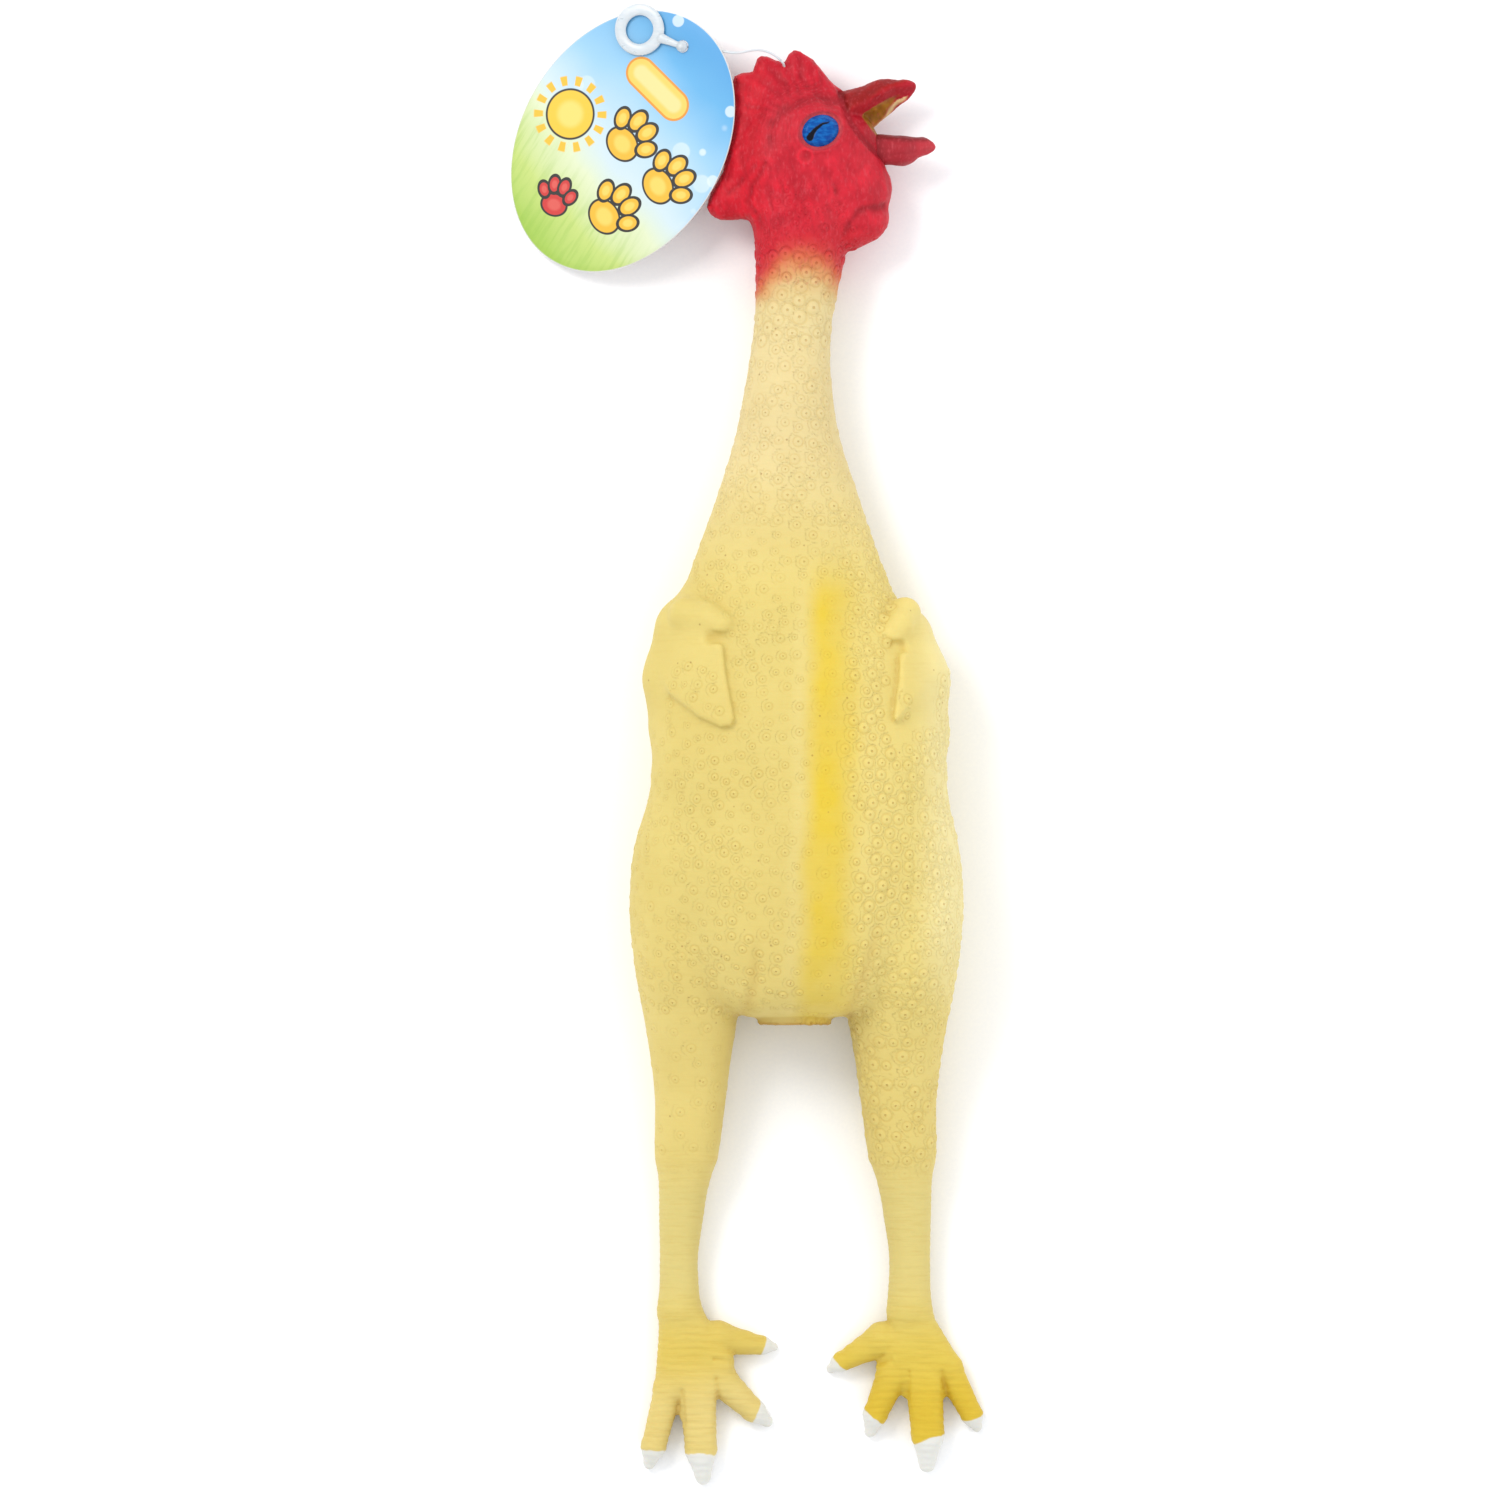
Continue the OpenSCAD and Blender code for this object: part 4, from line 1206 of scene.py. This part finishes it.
# painted shade along the top edge, under the upper beak
under_edge = (y - 212.6) + (x - 29) * 0.07 + (z - HEAD_Z) * 0.3
c = mix(c, rgb(120, 20, 26), smooth(-1.6, -0.2, under_edge) * 0.8)
c = c * (1 + 0.1 * value_noise(p / 2.4, 61))[:, None]
store(m, p, np.clip(c, 0, 1), np.tile(NO_PORE, (len(p), 1)), np.zeros(len(p)))
move = -0.32 * bell(y - 205.4 - 0.12 * (x - 28), 0.7) * smooth(26, 30, x) * smooth(0.2, 0.5, n[:, 2])
move += 0.1 * value_noise(p / 2.2, 62) + 0.05 * np.sin(y * 2.6 + value_noise(p / 3, 63) * 2)
p = p + n * move[:, None]
set_co(m, p)
write(m, "hollow", "FLOAT", np.clip(depth(m, p, edges_of(m)) / 0.4 * 4, -1, 1))
set_co(m, p * MM)
shade_smooth(m)
o = add_object("latex_lower_beak", m)
m.materials.append(
    latex("latex_beak", 0.45, 0.25, fleck=0.3, grain=1.1, cross=0.2, hollow_shade=(0.55, 0.34, 0.36)),
)
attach(o, "jaw")
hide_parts("lower_beak")

# ---------------------------------------------------------------- eyes, painted domes between the lids

# the slit's spine across the eye, in half lengths of its oval, and its half width in mm
SLIT = [(-0.66, -0.14, 1.15), (-0.46, 0.05, 0.8), (-0.14, 0.23, 0.52), (0.24, 0.33, 0.38), (0.6, 0.27, 0.2)]


def slit_distance(u, v):
    """How far each place is from the slit's edge: a thick blob low on one side, thin at the other."""
    best = np.full(len(u), 9.0)
    for (*a, ra), (*b, rb) in zip(SLIT, SLIT[1:]):
        away, t = segment_distance(u * EYE_HALF[0], v * EYE_HALF[1], a * EYE_HALF, b * EYE_HALF)
        best = np.minimum(best, away - (ra + t * (rb - ra)))
    return best


RINGS, TURNS = 34, 96
faces, local = [], []
for s in (1, -1):
    start = len(local)
    for i in range(RINGS + 1):
        for j in range(TURNS if i else 1):
            a, r = 2 * math.pi * j / TURNS, i / RINGS
            local.append((r * math.cos(a), r * math.sin(a)))
    for j in range(TURNS):
        k = (j + 1) % TURNS
        faces.append((start, start + 1 + j, start + 1 + k)[::s])
        for i in range(1, RINGS):
            b = start + 1 + i * TURNS
            a = b - TURNS
            faces.append((a + j, b + j, b + k, a + k)[::s])
local = np.array(local)
across, up = (local * (6.0, 5.0)).T
verts = np.column_stack([
    EYE[0] + across * EYE_COS - up * EYE_SIN, EYE[1] + across * EYE_SIN + up * EYE_COS, np.zeros(len(local)),
])
half = len(verts) // 2
slit = slit_distance(*local.T)
# the bed of each eye is the skin just inside its lids
for s, part in ((1, slice(0, half)), (-1, slice(half, None))):
    q = verts[part].copy()
    q[:, 2] = HEAD_Z + s * 13.0
    for _ in range(12):
        q[:, 2] -= s * np.clip(skin(q), -1.5, 1.5)
    # a bead of paint-filled dome, its rim tucked in under the lids
    dome = np.sqrt(np.clip(1 - (local[part] ** 2).sum(1), 0, 1))
    verts[part, 2] = q[:, 2] + s * (0.25 + 0.75 * dome - 0.22 * smooth(0.35, -0.25, slit[part]))
m = mesh_from(verts * MM, faces, "eyes")
write(m, "rest", "FLOAT_VECTOR", verts)
write(m, "slit", "FLOAT", slit)
shade_smooth(m)
o = add_object("painted_eyes", m)
k = Nodes("eye_paint")
at = k.attribute("rest")
streak = k.noise(k.stretch(at, (0.5, 1.1, 0.5), 0.5), 0.9, 4.0)
c = k.mix(k.step(0.3, 0.72, streak), colour(0, 66, 150), colour(14, 108, 190))
ragged = k.add(k.attribute("slit", "Fac"), k.mul(k.sub(k.noise(at, 1.6), 0.5), 0.5))
c = k.mix(k.step(0.16, -0.12, ragged), c, colour(10, 11, 26))
m.materials.append(k.finish(
    Base_Color=c, Roughness=k.spread(streak, 0.2, 0.34), Specular_IOR_Level=0.14,
    Normal=k.bump(k.add(streak, k.noise(at, 2.5)), 0.00008),
))
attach(o, "head")
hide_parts("eyes")

# ---------------------------------------------------------------- hang tag and its print

HOLE = joint_at("tag")
LEAN, TURN = math.radians(18), math.radians(34)
CARD_L, CARD_W, CARD_T, HOLE_UP, HOLE_R = 90.0, 68.0, 0.6, 36.3, 2.0
EDGE_ROUND = 0.12


def on_card(x, y, z):
    """From the card's own plane, origin at its hole, to the row frame."""
    x, y, z = np.broadcast_arrays(np.asarray(x, float), y, z)
    return HOLE + np.column_stack([
        x * math.cos(LEAN) - z * math.sin(LEAN), y, x * math.sin(LEAN) + z * math.cos(LEAN),
    ])


def from_middle(u, v):
    """From the card's own axes, origin at its middle, to its plane with the hole as origin."""
    v = v - HOLE_UP
    return u * math.cos(TURN) + v * math.sin(TURN), -u * math.sin(TURN) + v * math.cos(TURN)


def ring_faces(rows, around, closed):
    """Quads between rings of points."""
    i, j = (g.ravel() for g in np.indices((rows if closed else rows - 1, around)))
    low, high, k = i * around, (i + 1) % rows * around, (j + 1) % around
    return np.column_stack([low + j, low + k, high + k, high + j])


AROUND = 180
a = np.arange(AROUND) * 2 * math.pi / AROUND
# rings run from the punched hole out to the rounded edge of the card
t = np.linspace(0, 1, 46) ** 1.35
ray = np.column_stack([np.cos(a), np.sin(a)])
A, B = CARD_W / 2 - EDGE_ROUND, CARD_L / 2 - EDGE_ROUND
qa = (ray[:, 0] / A) ** 2 + (ray[:, 1] / B) ** 2
qb = 2 * HOLE_UP * ray[:, 1] / B**2
reach = (-qb + np.sqrt(qb**2 - 4 * qa * (HOLE_UP**2 / B**2 - 1))) / (2 * qa)
inner, outer = (ray * r + [0, HOLE_UP] for r in (HOLE_R, reach[:, None]))
out_dir = outer / np.linalg.norm(outer, axis=1)[:, None]
loops = [(inner + (outer - inner) * s, CARD_T) for s in t]
for w, h in ((0.09, CARD_T - 0.05), (EDGE_ROUND, CARD_T - 0.16), (EDGE_ROUND, 0.16), (0.09, 0.05)):
    loops.append((outer + out_dir * w, h))
loops += [(inner + (outer - inner) * s, 0) for s in t[::-1]]
uvw = np.concatenate([np.column_stack([ring, np.full(AROUND, h)]) for ring, h in loops])
u, v, w = uvw.T
# a card is never quite flat
bow = 0.55 * (1 - (v / 45) ** 2) - 0.35 * (u / 34) ** 2 + 0.12 * np.sin(v / 11 + u / 9)
w = w + (bow - 0.2) * smooth(3, 14, np.hypot(u, v - HOLE_UP))
m = mesh_from(on_card(*from_middle(u, v), w) * MM, ring_faces(len(loops), AROUND, True)[:, ::-1], "card")
shade_smooth(m)
write(m, "card", "FLOAT_VECTOR", uvw)
face_outwards(m)
m.set_sharp_from_angle(angle=math.radians(50))
card = add_object("hang_card", m)

k = Nodes("card_print")
at = k.attribute("card")
cu, cv, cw = k.new("SeparateXYZ", {0: at}).outputs
# sky at the top right running into grass at the bottom left
slope = k.add(k.mul(cu, 0.0026), k.mul(cv, 0.0116))
slope = k.add(k.add(slope, k.mul(k.sub(k.noise(at, 0.022, 2.0), 0.5), 0.28)), 0.5)
ramp = k.new("ValToRGB", {0: slope})
STOPS = [
    (0.0, (172, 208, 84)), (0.16, (203, 224, 124)), (0.34, (230, 240, 200)), (0.46, (212, 233, 245)),
    (0.66, (160, 210, 242)), (0.86, (96, 179, 232)), (1.0, (78, 165, 225)),
]
for _ in STOPS[2:]:
    ramp.color_ramp.elements.new(0.5)
for e, (place, c) in zip(ramp.color_ramp.elements, STOPS):
    e.position, e.color = place, colour(*c)
c = ramp.outputs[0]
# pale out-of-focus spots in the sky, and blades in the grass
for scale, size, strength, move in ((0.085, 0.30, 0.6, (3, 5, 0)), (0.13, 0.28, 0.7, (11, 2, 0))):
    spot = k.spots(k.stretch(at, (1, 1, 0), move=move), scale, 0.9)
    disc = k.step(size, size - 0.05, spot["Distance"])
    pick = k.math("GREATER_THAN", k.new("SeparateColor", {0: spot["Color"]}).outputs[0], 0.42)
    c = k.mix(k.mul(disc, pick, k.step(0.42, 0.7, slope), strength), c, colour(236, 247, 253))
blades = k.noise(k.stretch(at, (0.55, 0.05, 0), 0.7), 1.0)
c = k.mix(k.mul(k.step(0.45, 0.62, blades), k.step(0.4, 0.2, slope), 0.25), c, colour(140, 190, 60))


def placed(cx, cy, turn):
    return k.stretch(k.stretch(at, (1, 1, 0), move=(-cx, -cy, 0)), (1, 1, 1), -turn)


def oval(cx, cy, rx, ry, turn=0.0):
    """Distance from the middle of an oval, 1 at its edge."""
    return k.length(k.stretch(placed(cx, cy, turn), (1 / rx, 1 / ry, 0)))


def painted(c, dist, edge, body, glow, line=(28, 24, 18)):
    c = k.mix(k.step(edge + 0.02, edge - 0.02, dist), c, colour(*line))
    c = k.mix(k.step(1.02, 0.98, dist), c, colour(*body))
    return k.mix(k.mul(k.step(0.72, 0.4, dist), 0.8), c, colour(*glow))


# plain art: a sun, a blank badge and paw prints
SUN = (-19.5, -2.5)
sun = oval(*SUN, 7.6, 7.6)
angle = k.math("ARCTAN2", k.sub(cv, SUN[1]), k.sub(cu, SUN[0]))
rays = k.mul(
    k.step(0.0, 0.35, k.math("SINE", k.mul(angle, 14.0))), k.step(1.18, 1.24, sun), k.step(1.66, 1.58, sun),
)
c = k.mix(rays, c, colour(250, 196, 44))
c = painted(c, sun, 1.09, (250, 205, 48), (253, 228, 120))
badge = k.new("SeparateXYZ", {0: placed(0.6, 20.4, -0.17)}).outputs
past_end = k.math("MAXIMUM", k.sub(k.math("ABSOLUTE", badge[0]), 7.6), 0.0)
badge = k.math("DIVIDE", k.math("SQRT", k.add(k.mul(past_end, past_end), k.mul(badge[1], badge[1]))), 4.4)
c = painted(c, badge, 1.17, (252, 212, 92), (254, 232, 160), (236, 152, 30))
YELLOW, RED_PAW = ((247, 190, 38), (252, 222, 104)), ((214, 44, 40), (232, 96, 84))
PAWS = (
    (1.5, 2.2, -0.3, 0.86, YELLOW), (19.5, -2.5, -0.45, 0.86, YELLOW), (9.5, -20.5, -0.35, 0.86, YELLOW),
    (-8.5, -27.5, 0.3, 0.62, RED_PAW),
)
PADS = (
    (0, -3.6, 6.4, 5.2, 0), (-7.4, 2.6, 2.5, 3.5, 0.5), (-2.7, 6.6, 2.6, 3.8, 0.14),
    (2.9, 6.6, 2.6, 3.8, -0.14), (7.5, 2.4, 2.5, 3.5, -0.5),
)
for px, py, turn, size, paints in PAWS:
    ct, st = math.cos(turn), math.sin(turn)
    for ox, oy, rx, ry, own in PADS:
        cx, cy = px + (ox * ct - oy * st) * size, py + (ox * st + oy * ct) * size
        c = painted(c, oval(cx, cy, rx * size, ry * size, own + turn), 1 + 0.75 / (rx * size), *paints)
border = k.length(k.stretch(at, (1 / (CARD_W / 2), 1 / (CARD_L / 2), 0)))
white = k.math("MAXIMUM", k.step(0.99, 0.998, border), k.math("LESS_THAN", cw, CARD_T - 0.1))
fibre = k.noise(k.stretch(at, (1.2, 3.5, 1)), 1.4, 4.0)
c = k.mix(white, c, k.mix(k.step(0.3, 0.7, fibre), colour(226, 224, 218), colour(243, 242, 238)))
dots = k.new("TexWhiteNoise", {"Vector": k.stretch(at, (9, 9, 9))}).outputs[0]
c = k.mix(0.05, c, k.mix(1.0, c, k.new("CombineColor", {0: dots, 1: dots, 2: dots}).outputs[0], "MULTIPLY"))
m.materials.append(k.finish(
    Base_Color=c, Roughness=k.spread(fibre, 0.26, 0.4), Normal=k.bump(fibre, 0.00003), Coat_Weight=0.25,
    Coat_Roughness=0.12,
))
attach(card, "tag")
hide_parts("hang_tag")

# ---------------------------------------------------------------- the tag's fastener, one moulding

def tube_mesh(pts, radii, sides=20, loop=False, squash=1.0, up=(0, 0, 1)):
    """A round bar through points, closed at its ends by domes."""
    pts, radii = np.array(pts, float), np.broadcast_to(radii, len(pts))
    tangent = np.roll(pts, -1, 0) - np.roll(pts, 1, 0)
    if not loop:
        tangent[0], tangent[-1] = pts[1] - pts[0], pts[-1] - pts[-2]
    tangent /= np.linalg.norm(tangent, axis=1)[:, None]
    side = np.cross(tangent, up)
    side /= np.linalg.norm(side, axis=1)[:, None]
    top = np.cross(side, tangent)
    a = np.arange(sides)[:, None] * 2 * math.pi / sides
    round_it = np.cos(a) * side[:, None] + squash * np.sin(a) * top[:, None]
    rings = pts[:, None] + radii[:, None, None] * round_it
    if not loop:
        caps = []
        for end, s in ((0, -1), (-1, 1)):
            for b in (0.35, 0.7, 0.95):
                r, h = math.cos(b * math.pi / 2), math.sin(b * math.pi / 2)
                caps.append(pts[end] + (rings[end] - pts[end]) * r + s * tangent[end] * radii[end] * h * 0.8)
        rings = np.concatenate([caps[2::-1], rings, caps[3:]])
    faces = ring_faces(len(rings), sides, loop).tolist()
    if not loop:
        last = (len(rings) - 1) * sides
        faces += [list(range(sides))[::-1], list(range(last, last + sides))]
    return rings.reshape(-1, 3), faces


def curve_through(pts, n):
    """Catmull-Rom through the points."""
    pts = np.array(pts, float)
    ext = np.vstack([2 * pts[0] - pts[1], pts, 2 * pts[-1] - pts[-2]])
    out = []
    for i in range(len(pts) - 1):
        p0, p1, p2, p3 = ext[i : i + 4]
        bend, twist = 2 * p0 - 5 * p1 + 4 * p2 - p3, 3 * p1 - p0 - 3 * p2 + p3
        for t in np.linspace(0, 1, n, endpoint=i == len(pts) - 2):
            out.append(0.5 * (2 * p1 + (p2 - p0) * t + bend * t**2 + twist * t**3))
    return np.array(out)


RING_MIDDLE = np.array([-51.366, 246.1, 15.755])
RING_R, BAND = 6.45, 1.85
rx = (RING_MIDDLE - HOLE) @ [math.cos(LEAN), 0, math.sin(LEAN)]
ry = RING_MIDDLE[1] - HOLE[1]
rz = CARD_T + 1.2
a = np.arange(96) * 2 * math.pi / 96
stem_at = np.array([rx, ry]) * (1 - 7.6 / math.hypot(rx, ry))
stem = curve_through(on_card(*(stem_at[:, None] * [1, 0.62, 0]), [rz, rz, rz - 0.05]), 8)
COMB_TOP = HEAD_Z + 3
px, py, _ = joint_at("fastener")    # where the comb is pierced
under, card_edge = on_card([0, 17], [0, -2.2], [-1.2, -1.3])
path = curve_through([
    under, (under + card_edge) / 2 + [0, 0.3, -0.15], card_edge, [-14, 239.4, 20.6], [-9.4, 238.4, 20.6],
    [px - 1.4, py + 4.4, COMB_TOP + 1.2], [px - 0.4, py + 2.6, COMB_TOP - 0.4], [px, py, HEAD_Z],
    [px, py, HEAD_Z - 4.0],
], 9)
bar = np.linspace(-3.6, 3.6, 13)
flat_band = {"squash": 0.4, "up": on_card(0, 0, 1)[0] - HOLE}
upright = {"up": (0, 1, 0.01)}
parts = [
    # hanging ring: a flat moulded band, rounded, a little thicker at the gate
    tube_mesh(
        on_card(rx + RING_R * np.cos(a), ry + RING_R * np.sin(a), rz), BAND + 0.12 * np.cos(a - 2.4) ** 8,
        loop=True, **flat_band,
    ),
    # stem, knob and pin
    tube_mesh(stem, np.linspace(1.75, 0.85, len(stem)), **(flat_band | {"squash": 0.6})),
    tube_mesh(on_card(0, 0, CARD_T + np.array([0.35, 0.9, 1.5, 1.9])), [1.75, 1.9, 1.65, 1.0], **upright),
    tube_mesh(on_card(0, 0, [-1.1, -0.2, CARD_T + 0.5]), 0.62, **upright),
    # filament, and the cross-bar behind the comb
    tube_mesh(path, 0.4, sides=12, up=(0.05, 1, 0.02)),
    tube_mesh([(px + b, py, HEAD_Z - 4.1) for b in bar], 0.6 + 0.08 * (np.abs(bar) > 3), sides=16),
]
verts, faces = np.zeros((0, 3)), []
for v, f in parts:
    faces += [[i + len(verts) for i in face] for face in f]
    verts = np.concatenate([verts, v])
m = mesh_from(verts * MM, faces, "fastener")
face_outwards(m)
shade_smooth(m)
write(m, "rest", "FLOAT_VECTOR", verts)
o = add_object("nylon_fastener", m)
k = Nodes("clear_nylon")
flow = k.noise(k.stretch(k.attribute("rest"), (0.4, 1.2, 0.4)), 0.7)
m.materials.append(k.finish(
    Base_Color=k.mix(k.step(0.35, 0.7, flow), colour(238, 247, 253), colour(248, 252, 255)),
    Roughness=k.spread(flow, 0.22, 0.38), Normal=k.bump(flow, 0.000012), Transmission_Weight=0.25, IOR=1.5,
    Subsurface_Weight=0.1, Subsurface_Radius=(0.003, 0.003, 0.003), Subsurface_Scale=0.5,
))
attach(o, "fastener")
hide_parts("tag_fastener")

# ---------------------------------------------------------------- squeaker: the CAD's parts, in plastic

def plastic(name, base, dark, rough):
    k = Nodes(name)
    at = k.stretch(k.new("TexCoord").outputs["Object"], (1000, 1000, 1000))
    grit = k.noise(at, 3.0, 2.0)
    c = k.mix(k.step(0.3, 0.7, k.noise(at, 0.25, 4.0)), colour(*dark), colour(*base))
    c = k.mix(k.mul(k.step(0.66, 0.72, k.noise(at, 1.1)), 0.25), c, colour(*[v * 0.85 for v in dark]))
    return k.finish(
        Base_Color=c, Roughness=k.spread(grit, rough - 0.06, rough + 0.1), Normal=k.bump(grit, 0.00005, 0.7),
        Specular_IOR_Level=0.5,
    )


for node, look in {
    "squeaker_barrel": plastic("squeaker_white", (238, 236, 228), (222, 219, 208), 0.4),
    "squeaker_cap": plastic("squeaker_cap_white", (232, 230, 222), (214, 211, 200), 0.45),
    "reed_block": plastic("reed_block_white", (224, 224, 220), (204, 204, 200), 0.42),
    "squeaker_reed": plastic("reed_film", (214, 222, 226), (190, 202, 210), 0.25),
}.items():
    frame["nodes"][node].data.materials.clear()
    frame["nodes"][node].data.materials.append(look)

# ---------------------------------------------------------------- floor, light and camera

# the floor is a little below the skin's flat back, so that they never share a plane
bpy.ops.mesh.primitive_grid_add(x_subdivisions=8, y_subdivisions=8, size=6, location=(0, 0, -0.0001))
floor = bpy.context.object
floor.name = "floor"
k = Nodes("paper_floor")
grain = k.step(0.3, 0.7, k.noise(k.new("TexCoord").outputs["Object"], 900.0, 2.0))
floor.data.materials.append(k.finish(
    Base_Color=k.mix(grain, (0.955, 0.96, 0.975, 1.0), (0.98, 0.98, 0.985, 1.0)), Roughness=0.9,
    Specular_IOR_Level=0.1,
))
floor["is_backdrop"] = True

world = bpy.data.worlds.new("studio")
bpy.context.scene.world = world
world.use_nodes = True
sky = world.node_tree.nodes["Background"].inputs
sky[0].default_value = (0.985, 1.0, 1.025, 1)
sky[1].default_value = 1.0


def lamp(name, place, size, power, colour):
    light = bpy.data.lights.new(name, "AREA")
    light.size, light.energy, light.color = size, power, colour
    o = add_object(name, light)
    o.location = place
    o.rotation_mode = "QUATERNION"
    o.rotation_quaternion = (Vector((0, 0, 0.02)) - Vector(place)).to_track_quat("-Z", "Y")


lamp("key", (-0.8, 0.85, 1.35), 0.6, 12.6, (1, 0.985, 0.95))
lamp("fill", (1.3, 0.1, 1.0), 1.0, 5.0, (1, 0.99, 0.96))

# a long lens from far above: the photo shows next to no perspective
FAR, VIEW, SENSOR = 6.0, 0.48, 36
camera = bpy.data.cameras.new("camera")
camera.sensor_width = SENSOR
camera.lens = SENSOR * (FAR - 0.02) / VIEW
camera.clip_start, camera.clip_end = 0.1, 50
eye = add_object("camera", camera)
eye.location = (-0.016, 0.0154, FAR)
bpy.context.scene.camera = eye
bpy.context.scene.view_settings.view_transform = "Standard"

for box in (cad_box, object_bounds()):
    json.dumps([[round(c, 5) for c in corner] for corner in box]) + "\n"
